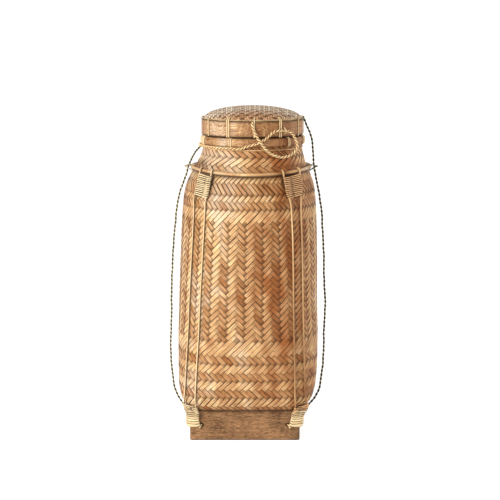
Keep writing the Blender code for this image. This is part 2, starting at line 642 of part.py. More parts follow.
def winding_path(routes, sx, sy, top, pitch, turns, at_foot):
    """One unbroken winding round a pair of stays, from the top down, with its outward directions."""
    path, outward = [], []
    slack = GAP if at_foot else GAP * 0.75
    room = (STAY_RADIUS + slack + LASHING_THICKNESS / 2) / math.cos(math.radians(30))
    for number in range(turns * WINDING_SLOTS + 1):
        slot = number % WINDING_SLOTS
        z = top - pitch * number / WINDING_SLOTS
        frame_a = stay_frame(routes, 0, z, sx, sy, at_foot)
        frame_b = stay_frame(routes, 1, z, sx, sy, at_foot)
        round_b = [(frame_b, turn) for turn in (0, 60, 120, 180)]
        round_a = [(frame_a, turn) for turn in (180, 120, 60)]
        place = ([(frame_a, 0), None] + round_b + [None] + round_a)[slot]
        if place is None:
            point, face = winding_corner(frame_a, frame_b, room, slot > 1, at_foot)
        else:
            (centre, normal, away), turn = place
            face = normal * math.cos(math.radians(turn)) + away * math.sin(math.radians(turn))
            point = centre + face * room
        path.append(point)
        outward.append(face)
    return path, outward


def winding_corner(frame_a, frame_b, room, under, at_foot):
    """Point between the two stays: under them along the wall, or over them."""
    sides = [(centre - normal * room, centre + normal * room) for centre, normal, away in (frame_a, frame_b)]
    low = (sides[0][0] + sides[1][0]) / 2
    high = (sides[0][1] + sides[1][1]) / 2
    face = (frame_a[1] + frame_b[1]).normalized()
    wall_height = max(low.z, BODY_BOTTOM)
    centre = Vector((body_centre_x(wall_height), 0.0, low.z))
    radial = Vector((low.x - centre.x, low.y, 0.0)).normalized()
    bulge = CORNER_BULGE if at_foot else 0.0
    on_wall = on_body(math.atan2(radial.x, -radial.y), wall_height, GAP * 1.5 + LASHING_THICKNESS / 2 + bulge)
    under_reach = max(Vector((p.x - centre.x, p.y)).length for p in (on_wall, low))
    if at_foot:
        knee = Vector((sides[1][0].x - centre.x, sides[0][0].y, 0.0))
        under_reach = max(under_reach, knee.length)
        radial = knee.normalized()
    if under:
        return centre + radial * under_reach, -face
    over_reach = max(Vector((high.x - centre.x, high.y)).length, under_reach + LASHING_THICKNESS + 2 * GAP)
    place = centre + radial * over_reach
    place.z = high.z
    return place, face


def least_gap(rings, apart):
    """Smallest distance between the surfaces of one winding's turns, on points."""
    dense = []
    for ring, after in zip(rings, rings[1:]):
        for share in (0.0, 0.25, 0.5, 0.75):
            dense.append([p.lerp(q, share) for p, q in zip(ring, after)])
    cloud = np.array([[tuple(p) for p in ring] for ring in dense])
    smallest = 1.0
    for i in range(len(cloud) - apart * 4):
        others = cloud[i + apart * 4:].reshape(-1, 3)
        for point in cloud[i]:
            smallest = min(smallest, float(np.sqrt(((others - point) ** 2).sum(axis=1)).min()))
    return smallest


def winding_object(name, path, outward, width, colour):
    rings = strip_rings(path, outward, width / 2, LASHING_THICKNESS / 2)
    points, faces = bridge_rings(rings, False)
    mesh_object(name, points, faces, colour, 0.5)
    print("%s: %.0f mm of cane, least gap to itself %.2f mm"
          % (name, path_length(path) * 1000, least_gap(rings, 5) * 1000))


def make_lashings(routes):
    top = RING_HEIGHT - TOP_LASHING_BELOW_RING
    foot_top = FOOT_HEIGHT + FOOT_LASHING_ABOVE_FOOT
    foot_pitch = (foot_top - FOOT_LASHING_BOTTOM) / FOOT_LASHING_TURNS
    for corner, (sx, sy) in CORNERS.items():
        path, outward = winding_path(routes[corner], sx, sy, top, TOP_LASHING_PITCH, TOP_LASHING_TURNS, False)
        winding_object("stay_lashing_" + corner, path, outward, TOP_LASHING_WIDTH, (0.80, 0.62, 0.38))
        path, outward = winding_path(routes[corner], sx, sy, foot_top, foot_pitch, FOOT_LASHING_TURNS, True)
        add_tail(path, outward, sx, sy)
        winding_object("foot_lashing_" + corner, path, outward, FOOT_LASHING_WIDTH, (0.86, 0.70, 0.45))


def add_tail(path, outward, sx, sy):
    """The winding's end goes into the corner hole, on the front or back face."""
    half = FOOT_WIDTH / 2
    mouth = Vector((FOOT_X + sx * (half - CORNER_HOLE_FROM_CORNER), sy * half, CORNER_HOLE_HEIGHT))
    inward = Vector((sx, -sy, 0.0)).normalized()
    across = Vector((sx, sy, 0.0)).normalized()
    last = path[-1]
    swing = mouth - inward * TAIL_SWING
    path.append(last.lerp(Vector((swing.x, last.y, swing.z)), 0.55))
    outward.append(Vector((0.0, sy, 0.0)))
    path.append(swing)
    outward.append(-inward)
    for depth in TAIL_DEPTHS:
        path.append(mouth + inward * depth)
        outward.append(-across)


def make_eyelets():
    for name, sx in (("eyelet_left", -1), ("eyelet_right", 1)):
        angle = sx * math.radians(EYELET_ANGLE)
        centre = ring_centre(angle)
        radial = Vector((math.sin(angle), -math.cos(angle), 0.0))
        along = Vector((math.cos(angle), math.sin(angle), 0.0))
        up = Vector((0.0, 0.0, 1.0))
        wrap = RING_ROD_RADIUS + GAP + EYELET_STRAND_RADIUS

        def on_rod(degrees, sign):
            turn = math.radians(degrees)
            offset = radial * math.cos(turn) + up * math.sin(turn)
            return centre + offset * wrap + along * sign * EYELET_LEG_SPREAD

        def in_loop(out, rise, wide):
            return centre + radial * EYELET_REACH * out + up * wrap * rise + along * EYELET_HALF_WIDTH * wide

        route = [on_rod(degrees, -1) for degrees in (135, 105, 75)]
        route += [in_loop(0.47, 0.62, -0.8), in_loop(0.7, 0.35, -1.0), in_loop(0.9, 0.1, -0.75),
                  in_loop(1.0, -0.08, 0.0), in_loop(0.9, -0.22, 0.75), in_loop(0.7, -0.35, 1.0),
                  in_loop(0.47, -0.62, 0.8)]
        route += [on_rod(degrees, 1) for degrees in (-50, -80)]
        tube_object(name, smooth_path(route, EYELET_STEP), EYELET_STRAND_RADIUS, 1, (0.62, 0.46, 0.28), 0.5)


def make_lid():
    axis = bpy.data.objects.new("lid_lift_axis", None)
    bpy.context.scene.collection.objects.link(axis)
    axis.location = (NECK_X, 0.0, LID_SEAT)
    inner = LID_INNER_RADIUS
    outer = LID_INNER_RADIUS + LID_INNER_BAND_WALL
    section = ((outer, 0.0), (outer, LID_INNER_BAND_HEIGHT), (inner, LID_INNER_BAND_HEIGHT), (inner, 0.0))
    pieces = [turned_ring("lid_inner_band", section, (0.55, 0.33, 0.17), 0.6)]
    section = ((BAND_RADIUS, 0.0), (BAND_RADIUS, LID_BAND_HEIGHT),
               (BAND_INNER_RADIUS, LID_BAND_HEIGHT), (BAND_INNER_RADIUS, 0.0))
    pieces.append(turned_ring("lid_band", section, (0.50, 0.29, 0.15), 0.5))
    pieces.append(make_lid_dome())
    pieces.append(make_rim_strip())
    for obj in pieces:
        obj.parent = axis
    for number in range(STITCH_COUNT):
        width = WIDE_STITCH_WIDTH if number in WIDE_STITCHES else STITCH_WIDTH
        angle = STITCH_START + 360 / STITCH_COUNT * number
        hook_strip("lid_stitch_%02d" % (number + 1), stitch_profile(), angle, width, 0.0,
                   (0.80, 0.62, 0.40), axis)
    return axis


def dome_height(r, drop=0.0):
    """Height of the dome's outside over the lid's underside, or of its inside a drop below."""
    radius = SKIRT_RADIUS - drop
    share = min(1.0, r / radius)
    return LID_BAND_HEIGHT + (LID_DOME_RISE - drop) * math.sqrt(1 - share * share)


def make_lid_dome():
    shares = (1.0, 0.97, 0.9, 0.78, 0.6, 0.4, 0.2, 0.04)
    rings = []
    outside = [(SKIRT_RADIUS, 0.0)] + [(SKIRT_RADIUS * s, dome_height(SKIRT_RADIUS * s)) for s in shares]
    inner_radius = SKIRT_RADIUS - LID_SKIN
    inside = [(inner_radius, 0.0)]
    inside += [(inner_radius * s, dome_height(inner_radius * s, LID_SKIN)) for s in shares[::2] + shares[-1:]]
    for r, z in inside[::-1] + outside:
        ring = []
        for i in range(ROUND_SIDES):
            angle = 2 * math.pi * i / ROUND_SIDES
            ring.append((r * math.sin(angle), -r * math.cos(angle), z))
        rings.append(ring)
    points, faces = bridge_rings(rings, False)
    return mesh_object("lid_dome", points, faces, (0.60, 0.42, 0.25), 0.6)


def make_rim_strip():
    section = []
    for k in range(RIM_STRIP_SIDES):
        turn = 2 * math.pi * (k + 0.5) / RIM_STRIP_SIDES
        section.append((RIM_STRIP_CENTRE_RADIUS + RIM_STRIP_RADIUS * math.sin(turn),
                        RIM_STRIP_LOCAL_HEIGHT + RIM_STRIP_RADIUS * math.cos(turn)))
    return turned_ring("lid_rim_strip", section, (0.78, 0.58, 0.36), 0.5)


def stitch_profile():
    """From the dome over the rim strip, down the band and under it, in (radius, height)."""
    step = GAP + STITCH_THICKNESS / 2
    reach = RIM_STRIP_RADIUS + step
    start = SKIRT_RADIUS - STITCH_ON_DOME
    points = [(start, dome_height(start) + 2 * step)]
    for degrees in (-20, 25, 70, 110):
        turn = math.radians(degrees)
        points.append((RIM_STRIP_CENTRE_RADIUS + reach * math.sin(turn),
                       RIM_STRIP_LOCAL_HEIGHT + reach * math.cos(turn)))
    outer = BAND_RADIUS + step
    points += [(outer, LID_BAND_HEIGHT * 0.85), (outer, LID_BAND_HEIGHT * 0.12),
               (outer - STITCH_ROUNDING, -step * 0.6), (outer - STITCH_TURN_UNDER, -step),
               (LID_INNER_RADIUS + STITCH_THICKNESS, -step)]
    return points


def make_rim_knot(axis):
    """Knot on the rim that ties the carrying cord's upper stretch to the lid."""
    angle = math.radians(RIM_KNOT_ANGLE)
    height = LID_BAND_HEIGHT + GAP + 2 * RIM_STRIP_RADIUS + GAP + RIM_KNOT_RADIUS
    work = bmesh.new()
    bmesh.ops.create_icosphere(work, subdivisions=2, radius=RIM_KNOT_RADIUS)
    mesh = bpy.data.meshes.new("rim_knot")
    work.to_mesh(mesh)
    work.free()
    mesh.shade_smooth()
    knot = add_object("rim_knot", mesh, (0.75, 0.58, 0.38), 0.7)
    knot.location = (BAND_RADIUS * math.sin(angle), -BAND_RADIUS * math.cos(angle), height)
    knot.parent = axis


def make_loop_tie(axis):
    """Cane tie over the light cord, seated on the lid's band."""
    reach = LIGHT_CORD_DIAMETER / 2 + GAP + STITCH_THICKNESS / 2
    seat = BAND_RADIUS + GAP + STITCH_THICKNESS / 2
    centre = BAND_RADIUS + LOOP_TIE_CORD_STANDOFF
    height = LOOP_TIE_ABOVE_SEAT
    profile = [(seat, height + LOOP_TIE_HALF_LENGTH)]
    for degrees in (70, 35, 0, -35, -70):
        turn = math.radians(degrees)
        profile.append((centre + reach * math.cos(turn), height + reach * math.sin(turn)))
    profile.append((seat, height - LOOP_TIE_HALF_LENGTH))
    hook_strip("loop_tie", profile, LOOP_TIE_ANGLE, STITCH_WIDTH, 0.0, (0.80, 0.62, 0.40), axis)


def make_cord(name, route, diameter, colour, axis=None):
    path = smooth_path(route, CORD_STEP)
    cord = tube_object(name, path, diameter / 2, 2, colour, 0.8)
    if axis is not None:
        cord.parent = axis
        cord.location = -axis.location
    print("%s: %.0f mm long" % (name, path_length(path) * 1000))


def make_cords(axis):
    dark, light = (0.07, 0.055, 0.035), (0.70, 0.50, 0.27)
    make_cord("carry_cord_left", CARRY_CORD_LEFT, CARRY_CORD_DIAMETER, dark)
    make_cord("carry_cord_right", CARRY_CORD_RIGHT, CARRY_CORD_DIAMETER, dark)
    make_cord("lid_tether_right", LID_TETHER_RIGHT, CARRY_CORD_DIAMETER, dark)
    make_cord("neck_cord", neck_cord_route(), LIGHT_CORD_DIAMETER, light)
    make_cord("lid_tether_front", LID_TETHER_FRONT, LIGHT_CORD_DIAMETER, light)
    make_cord("lid_loop", LID_LOOP, LIGHT_CORD_DIAMETER, light, axis)


def neck_cord_route():
    """Round the neck under the hoop, from behind, past the left side, to the front."""
    route = []
    for step in range(NECK_CORD_STEPS + 1):
        degrees = NECK_CORD_START + (NECK_CORD_LEAVES - NECK_CORD_START) * step / NECK_CORD_STEPS
        turn = math.radians(degrees)
        route.append((NECK_X + NECK_CORD_RADIUS * math.sin(turn), -NECK_CORD_RADIUS * math.cos(turn),
                      NECK_CORD_HEIGHT))
    return route + list(NECK_CORD_RISE)


clear_scene()
make_foot()
make_body()
make_neck()
make_shoulder_ring()
stay_routes = make_stays()
make_lashings(stay_routes)
make_eyelets()
lid_axis = make_lid()
make_rim_knot(lid_axis)
make_loop_tie(lid_axis)
make_cords(lid_axis)
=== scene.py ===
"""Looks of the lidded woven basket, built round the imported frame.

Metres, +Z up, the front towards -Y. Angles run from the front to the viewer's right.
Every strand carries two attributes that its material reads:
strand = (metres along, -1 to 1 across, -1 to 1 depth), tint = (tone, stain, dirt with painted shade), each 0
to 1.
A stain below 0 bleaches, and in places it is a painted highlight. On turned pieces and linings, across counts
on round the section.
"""
import math

import bpy
import numpy as np
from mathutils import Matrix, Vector


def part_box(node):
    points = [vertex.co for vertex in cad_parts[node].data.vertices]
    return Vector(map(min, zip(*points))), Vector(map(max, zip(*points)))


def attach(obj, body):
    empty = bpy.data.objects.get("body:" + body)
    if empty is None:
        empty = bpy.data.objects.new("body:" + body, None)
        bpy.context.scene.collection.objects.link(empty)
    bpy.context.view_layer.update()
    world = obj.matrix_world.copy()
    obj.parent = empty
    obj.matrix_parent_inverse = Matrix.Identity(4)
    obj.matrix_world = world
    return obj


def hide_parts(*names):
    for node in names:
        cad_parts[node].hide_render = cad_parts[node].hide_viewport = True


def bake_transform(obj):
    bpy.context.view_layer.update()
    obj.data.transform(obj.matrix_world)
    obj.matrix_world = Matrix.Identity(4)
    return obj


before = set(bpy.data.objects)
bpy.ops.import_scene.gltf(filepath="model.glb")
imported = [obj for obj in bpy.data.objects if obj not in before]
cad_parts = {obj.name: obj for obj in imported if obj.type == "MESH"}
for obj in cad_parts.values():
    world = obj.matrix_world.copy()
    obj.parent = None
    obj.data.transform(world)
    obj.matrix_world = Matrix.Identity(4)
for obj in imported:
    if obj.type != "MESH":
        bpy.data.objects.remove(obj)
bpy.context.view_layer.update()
rng = np.random.default_rng(7)

# Sizes of the CAD source
GAP = 0.0003  # between pieces that touch
LID_CLEARANCE = 0.0006  # between the collar and the lid's inner band
WALL_PROBE = 0.0005  # up and down the wall, where its slope is taken
FOOT_WIDTH = 0.1656
FOOT_HEIGHT = 0.0462
FOOT_X = -0.0048  # the foot's centre, left of the basket's own
CORNER_HOLE_FROM_CORNER = 0.0183
CORNER_HOLE_HEIGHT = 0.0245
BODY_HEIGHT = 0.4073
BELLY_RADIUS = 0.1077
BASE_OVERHANG = 0.0067  # how far the basket's bottom stands out past the foot
BASE_RADIUS = FOOT_WIDTH / 2 + BASE_OVERHANG
BODY_WALL = 0.003
BODY_FLOOR = 0.003
NECK_X = 0.0068  # the neck's centre, right of the belly's
BASE_SQUARENESS = 6.0  # exponent of the section's superellipse: 2 is round
BASE_TO_BELLY = ((0.0, 0.0), (0.0085, 0.165), (0.021, 0.385), (0.033, 0.55), (0.05, 0.71),
                 (0.082, 0.865), (0.12, 0.94), (0.18, 0.99), (0.25, 1.0))
BELLY_TO_NECK = ((0.25, 1.0), (0.375, 0.967), (0.47, 0.945), (0.565, 0.915), (0.67, 0.87),
                 (0.76, 0.8), (0.795, 0.752), (0.83, 0.64), (0.868, 0.45), (0.908, 0.205),
                 (0.944, 0.06), (0.965, 0.0))
SQUARENESS = ((0.0, 1.0), (0.03, 0.74), (0.1, 0.42), (0.18, 0.24), (0.28, 0.13), (0.375, 0.08),
              (0.565, 0.04), (0.76, 0.01), (0.85, 0.0))
LEAN = ((0.0, 0.16), (0.03, 0.24), (0.18, 0.40), (0.38, 0.43), (0.57, 0.53), (0.76, 0.61),
        (0.87, 0.77), (0.957, 1.0))
COLLAR_RADIUS = 0.0708
COLLAR_WALL = 0.0018
COLLAR_DEPTH = 0.027  # below the wall's top
COLLAR_STANDOUT = 0.0205  # above it, inside the lid
NECK_RADIUS = COLLAR_RADIUS + GAP + BODY_WALL
BODY_BOTTOM = FOOT_HEIGHT + GAP
WALL_TOP = BODY_BOTTOM + BODY_HEIGHT
HOOP_THICKNESS = 0.0046
HOOP_HEIGHT = 0.013
HOOP_ROUNDNESS = 2.6  # exponent of the section's superellipse
HOOP_ABOVE_WALL = 0.0006
HOOP_TOP = WALL_TOP + HOOP_ABOVE_WALL
HOOP_BOTTOM = HOOP_TOP - HOOP_HEIGHT
HOOP_INNER_RADIUS = NECK_RADIUS + GAP
BINDING_WIDTH = 0.002
BINDING_THICKNESS = 0.0012
BINDING_BELOW_HOOP = 0.0034
BINDING_INNER_RADIUS = 0.0752
STITCH_THICKNESS = 0.0005
STITCH_STANDOFF = GAP + STITCH_THICKNESS / 2  # from what a stitch lies on to its middle
LID_SEAT = HOOP_TOP + 2 * (GAP + STITCH_THICKNESS) + GAP
LID_INNER_BAND_WALL = 0.0012
LID_INNER_BAND_HEIGHT = 0.016
LID_SKIN = 0.0016
LID_INNER_RADIUS = COLLAR_RADIUS + LID_CLEARANCE
SKIRT_RADIUS = LID_INNER_RADIUS + LID_INNER_BAND_WALL + GAP + LID_SKIN
LID_BAND_WALL = 0.0018
BAND_INNER_RADIUS = SKIRT_RADIUS + GAP
BAND_RADIUS = BAND_INNER_RADIUS + LID_BAND_WALL
BAND_HEIGHT = 0.023
BAND_TOP = LID_SEAT + BAND_HEIGHT
DOME_RISE = 0.0197
RIM_RADIUS = 0.0011
RIM_PROUD = 0.0003  # of the strip on the band's top edge, past the band's face
RIM_LINE = BAND_RADIUS - RIM_RADIUS + RIM_PROUD
STITCH_COUNT = 12
STITCH_START = -28  # angle of the first stitch from the front
STITCH_ANGLES = [STITCH_START + 360 // STITCH_COUNT * k for k in range(STITCH_COUNT)]
WIDE_STITCHES = (0, 2)
STITCH_ON_DOME = 0.0022  # from the skirt's edge in to the stitch's start
STITCH_TURN_UNDER = 0.0012  # from the band's face in to where a stitch is flat under it
STITCH_ROUNDING = 0.0003
RING_RADIUS = 0.003
RING_BELOW_WALL_TOP = 0.0488
RING_HEIGHT = WALL_TOP - RING_BELOW_WALL_TOP
RING_DROOP = 0.0045  # front and back hang lower than the sides
STAY_RADIUS = 0.0015
LASHING_THICKNESS = 0.0009
STAY_STANDOFF = GAP + LASHING_THICKNESS + GAP + STAY_RADIUS + GAP
STAY_END_HEIGHT = 0.0185
STAY_BISECTOR = {  # degrees from the front to a pair's middle, left and right
    -1: ((0.0, 44.0), (0.04, 42.7), (0.1, 42.5), (0.16, 43.4), (0.305, 44.3), (0.415, 44.9), (0.65, 44.7),
         (0.745, 45.1), (0.78, 45.3), (0.81, 44.2), (0.83, 43.4), (0.87, 44.3)),
    1: ((0.0, 44.2), (0.04, 40.0), (0.1, 38.7), (0.16, 39.2), (0.31, 40.6), (0.42, 41.3), (0.65, 41.5),
        (0.745, 41.4), (0.78, 40.7), (0.82, 39.6), (0.87, 39.4))}
STAY_HALF_SPREAD = {  # degrees from there to each stay
    -1: ((0.0, 5.6), (0.04, 4.9), (0.1, 4.6), (0.16, 5.0), (0.305, 5.6), (0.45, 6.0), (0.7, 6.3), (0.78, 6.9),
         (0.87, 7.3)),
    1: ((0.0, 5.9), (0.04, 4.3), (0.1, 3.8), (0.16, 4.1), (0.31, 4.65), (0.5, 4.85), (0.7, 5.05),
        (0.745, 5.3), (0.78, 5.95), (0.82, 8.2), (0.87, 9.8))}
HOOK_START, HOOK_STEP = -8.0, 19.6  # degrees past the ring's top, of the points of a stay's hook
STAY_FROM_CORNER_TOP = 0.0082
STAY_FROM_CORNER_END = 0.0146
STAY_EASE = 0.02  # height in which a stay comes off the wall near a lashing
STAY_EASE_BELOW_LASHING = 0.022
STAY_EASE_ABOVE_FOOT = 0.0102
STAY_TAUT_BELOW_RING = 0.03  # the straight stretch under the ring
STAY_TURN_IN = 0.0105  # height in which a stay passes from the wall to the foot's face
STAY_SPAN = 0.003  # along a stay, where its direction is taken
STAY_SMOOTHING = 0.0045  # above and below a point that is averaged
STAY_DROPS = (0.012, 0.021, 0.03, 0.036, 0.042, 0.048, 0.056, 0.09, 0.14, 0.19, 0.24, 0.285)
STAY_RISES = (0.03, 0.016, 0.011, 0.0075, 0.004, 0.0005, -0.003, -0.0065, -0.01, -0.015)
TOP_LASHING_END = 0.036  # below the ring's centre
LASHING_BOTTOM = RING_HEIGHT - TOP_LASHING_END
FOOT_LASHING_TURNS = 7
FOOT_LASHING_BOTTOM = 0.0212
FOOT_LASHING_ABOVE_FOOT = 0.0034
WINDING_SLOTS = 10  # points on one turn of a winding
CORNER_BULGE = 0.0012  # more room for a winding round the basket's square bottom corner
NECK_LASHING_ANGLES = (-160, -113, -67, -25, 43, 84, 118, 156)
EYELET_ANGLE = 75.0  # from the front, to each side
EYELET_REACH = 0.0135  # from the rod's centre to the loop's tip
EYELET_HALF_WIDTH = 0.0031
EYELET_LEG_SPREAD = 0.0017
CORD_STEP = 0.0072  # between the sections of a cord's solid
NECK_CORD_RADIUS = 0.0802
NECK_CORD_HEIGHT = 0.4401
NECK_CORD_START = -190.0  # degrees from the front, to the right
NECK_CORD_LEAVES = -12.0
NECK_CORD_STEPS = 16
LOOP_TIE_ANGLE = 36.5
LOOP_TIE_ABOVE_SEAT = 0.0088  # the tie's middle over the lid's underside
LOOP_TIE_HALF_LENGTH = 0.0048
LOOP_TIE_CORD_STANDOFF = 0.0035  # from the band to the cord's centre
CORNERS = {"front_left": (-1, -1), "front_right": (1, -1), "back_left": (-1, 1), "back_right": (1, 1)}

# Cord routes of the CAD source
DARK_CORD = 0.0023
LIGHT_CORD = 0.0037
CARRY_CORD_LEFT = (
    (-0.0718, 0.0095, 0.4368), (-0.0768, 0.0020, 0.4320), (-0.0817, -0.0100, 0.4250),
    (-0.0858, -0.0205, 0.4180), (-0.0886, -0.0253, 0.4125), (-0.0902, -0.0259, 0.4065),
    (-0.0924, -0.0275, 0.3985),
    (-0.0962, -0.0300, 0.3880), (-0.1013, -0.0330, 0.3719), (-0.1053, -0.0360, 0.3560),
    (-0.1090, -0.0400, 0.3282), (-0.1115, -0.0430, 0.2945), (-0.1144, -0.0460, 0.2515),
    (-0.1151, -0.0490, 0.2048), (-0.1164, -0.0520, 0.1625), (-0.1165, -0.0550, 0.1200),
    (-0.1140, -0.0580, 0.0925), (-0.1093, -0.0620, 0.0722), (-0.1034, -0.0650, 0.0606),
    (-0.0985, -0.0668, 0.0535), (-0.0948, -0.0672, 0.0498))
CARRY_CORD_RIGHT = (
    (0.0986, -0.0252, 0.4087), (0.0998, -0.0258, 0.4040), (0.1019, -0.0268, 0.3945),
    (0.1042, -0.0280, 0.3829), (0.1077, -0.0320, 0.3604), (0.1106, -0.0350, 0.3398),
    (0.1127, -0.0390, 0.3063), (0.1145, -0.0440, 0.2512), (0.1162, -0.0480, 0.2047),
    (0.1150, -0.0520, 0.1630), (0.1140, -0.0550, 0.1300), (0.1121, -0.0580, 0.1005),
    (0.1074, -0.0620, 0.0740), (0.1000, -0.0650, 0.0608), (0.0935, -0.0668, 0.0535),
    (0.0898, -0.0676, 0.0496))
LID_TETHER_RIGHT = (
    (0.0824, -0.0227, 0.4833), (0.0849, -0.0212, 0.4772), (0.0880, -0.0195, 0.4700),
    (0.0919, -0.0182, 0.4620), (0.0948, -0.0185, 0.4530), (0.0966, -0.0198, 0.4400),
    (0.0977, -0.0225, 0.4250), (0.0985, -0.0248, 0.4110), (0.0986, -0.0251, 0.4095))
NECK_CORD_RISE = ((-0.0015, -0.0811, 0.4436), (0.0057, -0.0817, 0.4455), (0.0121, -0.0821, 0.4475))
LID_TETHER_FRONT = (
    (0.0127, -0.0821, 0.4477), (0.0220, -0.0813, 0.4518), (0.0288, -0.0790, 0.4569),
    (0.0350, -0.0757, 0.4622), (0.0398, -0.0732, 0.4655))
LID_LOOP = (
    (0.0409, -0.0726, 0.4657), (0.0443, -0.0707, 0.4658), (0.0488, -0.0680, 0.4655),
    (0.0542, -0.0643, 0.4651), (0.0609, -0.0608, 0.4634), (0.0676, -0.0578, 0.4570),
    (0.0711, -0.0569, 0.4494), (0.0727, -0.0573, 0.4423), (0.0693, -0.0613, 0.4350),
    (0.0598, -0.0674, 0.4288), (0.0479, -0.0735, 0.4274), (0.0328, -0.0809, 0.4338),
    (0.0212, -0.0867, 0.4455), (0.0132, -0.0857, 0.4573), (0.0090, -0.0832, 0.4656),
    (0.0065, -0.0803, 0.4742), (0.0058, -0.0792, 0.4786))

# Weave
BODY_STRIPS = 78
NECK_STRIPS = 44
BODY_UNIT_STRETCH = 1.07  # height of a crossing over its width
NECK_UNIT_STRETCH = 0.74
STRIP_THICKNESS = 0.0006
WEAVE_DEPTH = 0.00075  # from the mean surface to a strip's centre
BODY_TURN = 0.0029  # share of the way round that the columns are turned
WEAVE_INSET = 0.00105  # mean surface of the weave behind the wall's outside
TOP_ROWS = (("/", 3), ("\\", 4), ("/", 2), ("\\", 3), ("/", 4))
BOTTOM_ROWS = (("/", 5), ("\\", 3), ("/", 3), ("\\", 3), ("/", 3), ("\\", 3), ("/", 3), ("\\", 3), ("/", 9))
# Crossings below the ring by height on the front, where the bands of slants change
CROSSINGS_AT = ((0.4008, 0), (0.3886, 3), (0.3705, 7), (0.3622, 9), (0.3494, 12), (0.3325, 16), (0.1553, 55),
                (0.1333, 60), (0.1204, 63), (0.1073, 66), (0.0949, 69), (0.0816, 72), (0.0702, 74.6),
                (0.0570, 77.2), (0.0500, 79.2))
NECK_ROWS = (("\\", 3), ("/", 3), ("\\", 12))
NECK_CROSSINGS_AT = ((0.4353, 0), (0.4240, 3), (0.4121, 6), (0.4035, 8.2), (0.3990, 9.3))
COLUMN_UNITS = 39
MOST_POINTS = 80000  # past this many, the weave goes on in another mesh
DOME_STRIPS = 45
# Section of a strip, -1 to 1 across and in thicknesses high, and its sides that are shaded flat
STRIP_SECTION = ((-1.0, -0.5), (-1.0, 0.1), (-0.8, 0.5), (0.8, 0.5), (1.0, 0.1), (1.0, -0.5))
STRIP_ACROSS, STRIP_HIGH = np.array(STRIP_SECTION).T
STRIP_FLAT = (0, 4, 5)
# What differs between the strips that rise to the right and those that fall to it
RUN_TONES = {"/": 0.06, "\\": 0.07}
# In part painted light: strips that rise to the right lighter, those that fall to it darker, as the light
# falls from the left.
STRIP_TONE = {"/": 0.17, "\\": -0.15}
# Painted shade at the lower end of each float, where the strip dives under; strongest on the strips that fall
# to the right, away from the light.
LOWER_END_SHADE = {"/": 0.1, "\\": 1.25}
# Stains on the wall: angle and its width, height and its width, amount
STAIN_PATCHES = (
    (0.62, 0.3, 0.285, 0.06, 0.35), (0.12, 0.16, 0.262, 0.05, 0.4), (0.35, 0.2, 0.2, 0.05, 0.3),
    (-1.25, 0.35, 0.36, 0.05, 0.3), (2.4, 0.5, 0.25, 0.12, 0.4), (-2.3, 0.5, 0.16, 0.1, 0.4),
    # The two negative amounts high on the left front, on the next line, are in part a painted highlight.
    (0.2, 0.4, 0.43, 0.02, 0.35), (-0.5, 0.45, 0.425, 0.03, -0.5), (-0.35, 0.3, 0.37, 0.04, -0.35),
    (0.9, 0.45, 0.42, 0.03, 0.3), (0.7, 0.4, 0.375, 0.035, 0.15), (-0.9, 0.3, 0.37, 0.03, 0.2),
    (1.25, 0.3, 0.2, 0.3, -0.3))

# Strands of the ties and stitches: offsets in mm beside the tie's angle, and how far they spread downwards
PLAIN_NECK_TIE = (-1.3, 1.3)
LONG_NECK_TIES = {-67: [2.6 - 1.75 * k for k in range(11)], 84: [1.6 - 1.75 * k for k in range(10)]}
NECK_STRAND_WIDTH = 0.0017
WIDE_STITCH = {"offsets": (-1.5, 1.3), "width": 0.0019, "spread": 0.3}
NARROW_STITCH = {"offsets": (-0.2,), "width": 0.0021}
LOOP_TIE = {"offsets": (-0.65, 0.65), "width": 0.0012, "spread": 0.8}
TIGHT_LAY, LOOSE_LAY = 3.1, 5.4  # length of a cord's twist, in diameters
CORD_WANDER = 0.0006  # of a loosely laid cord to each side of its route
LINING_INSET = 0.0021  # of the dark lining behind the weave, from the outside
DOME_STRIP_THICKNESS = 0.0005
DOME_WEAVE_DEPTH = 0.0004
DOME_WEAVE_EDGE = 0.0012  # from the skirt's top up to the weave's ends


def smooth_value(table, x):
    """Smooth curve through the table's points, without overshoot, for a number or an array."""
    xs, ys = np.array(table, dtype=float).T
    x = np.clip(np.asarray(x, dtype=float), xs[0], xs[-1])
    slopes = np.diff(ys) / np.diff(xs)
    before, after = slopes[:-1], slopes[1:]
    tangents = np.zeros(len(xs))
    same = before * after > 0
    total = np.where(same, before + after, 1.0)
    tangents[1:-1] = np.where(same, 2 * before * after / total, 0.0)
    i = np.clip(np.searchsorted(xs, x, side="right") - 1, 0, len(xs) - 2)
    step = xs[i + 1] - xs[i]
    t = (x - xs[i]) / step
    rise = ys[i + 1] - ys[i]
    return (ys[i] + rise * t * t * (3 - 2 * t)
            + step * tangents[i] * t * (1 - t) ** 2 - step * tangents[i + 1] * t * t * (1 - t))


def smooth_step(t):
    t = np.clip(t, 0.0, 1.0)
    return t * t * (3 - 2 * t)


def share_of_body(z):
    return (np.asarray(z) - BODY_BOTTOM) / BODY_HEIGHT


def full_turn(count):
    """Even angles once round."""
    return 2 * math.pi * np.arange(count) / count


def turn_from(angle, at):
    """Signed angle from a direction."""
    return (np.asarray(angle) - at + math.pi) % (2 * math.pi) - math.pi


def near(angle, at, width):
    """1 in a direction, falling off within about the width."""
    return np.exp(-(turn_from(angle, at) / width) ** 2)


def outwards(angle):
    """Level direction away from the axis."""
    return Vector((math.sin(angle), -math.cos(angle), 0.0))


def about_neck(radius, turn, height):
    """Places round the neck's axis."""
    places = np.broadcast_arrays(NECK_X + radius * np.sin(turn), -radius * np.cos(turn), height)
    return np.stack(places, axis=-1)


def wavy(x, seed, scale=1.0):
    """Slow smooth variation from -1 to 1 along x."""
    shifts = np.random.default_rng(seed).uniform(0, 2 * math.pi, 3)
    x = np.asarray(x, dtype=float) / scale
    return (np.sin(x + shifts[0]) + 0.6 * np.sin(2.3 * x + shifts[1]) + 0.4 * np.sin(4.1 * x + shifts[2])) / 2


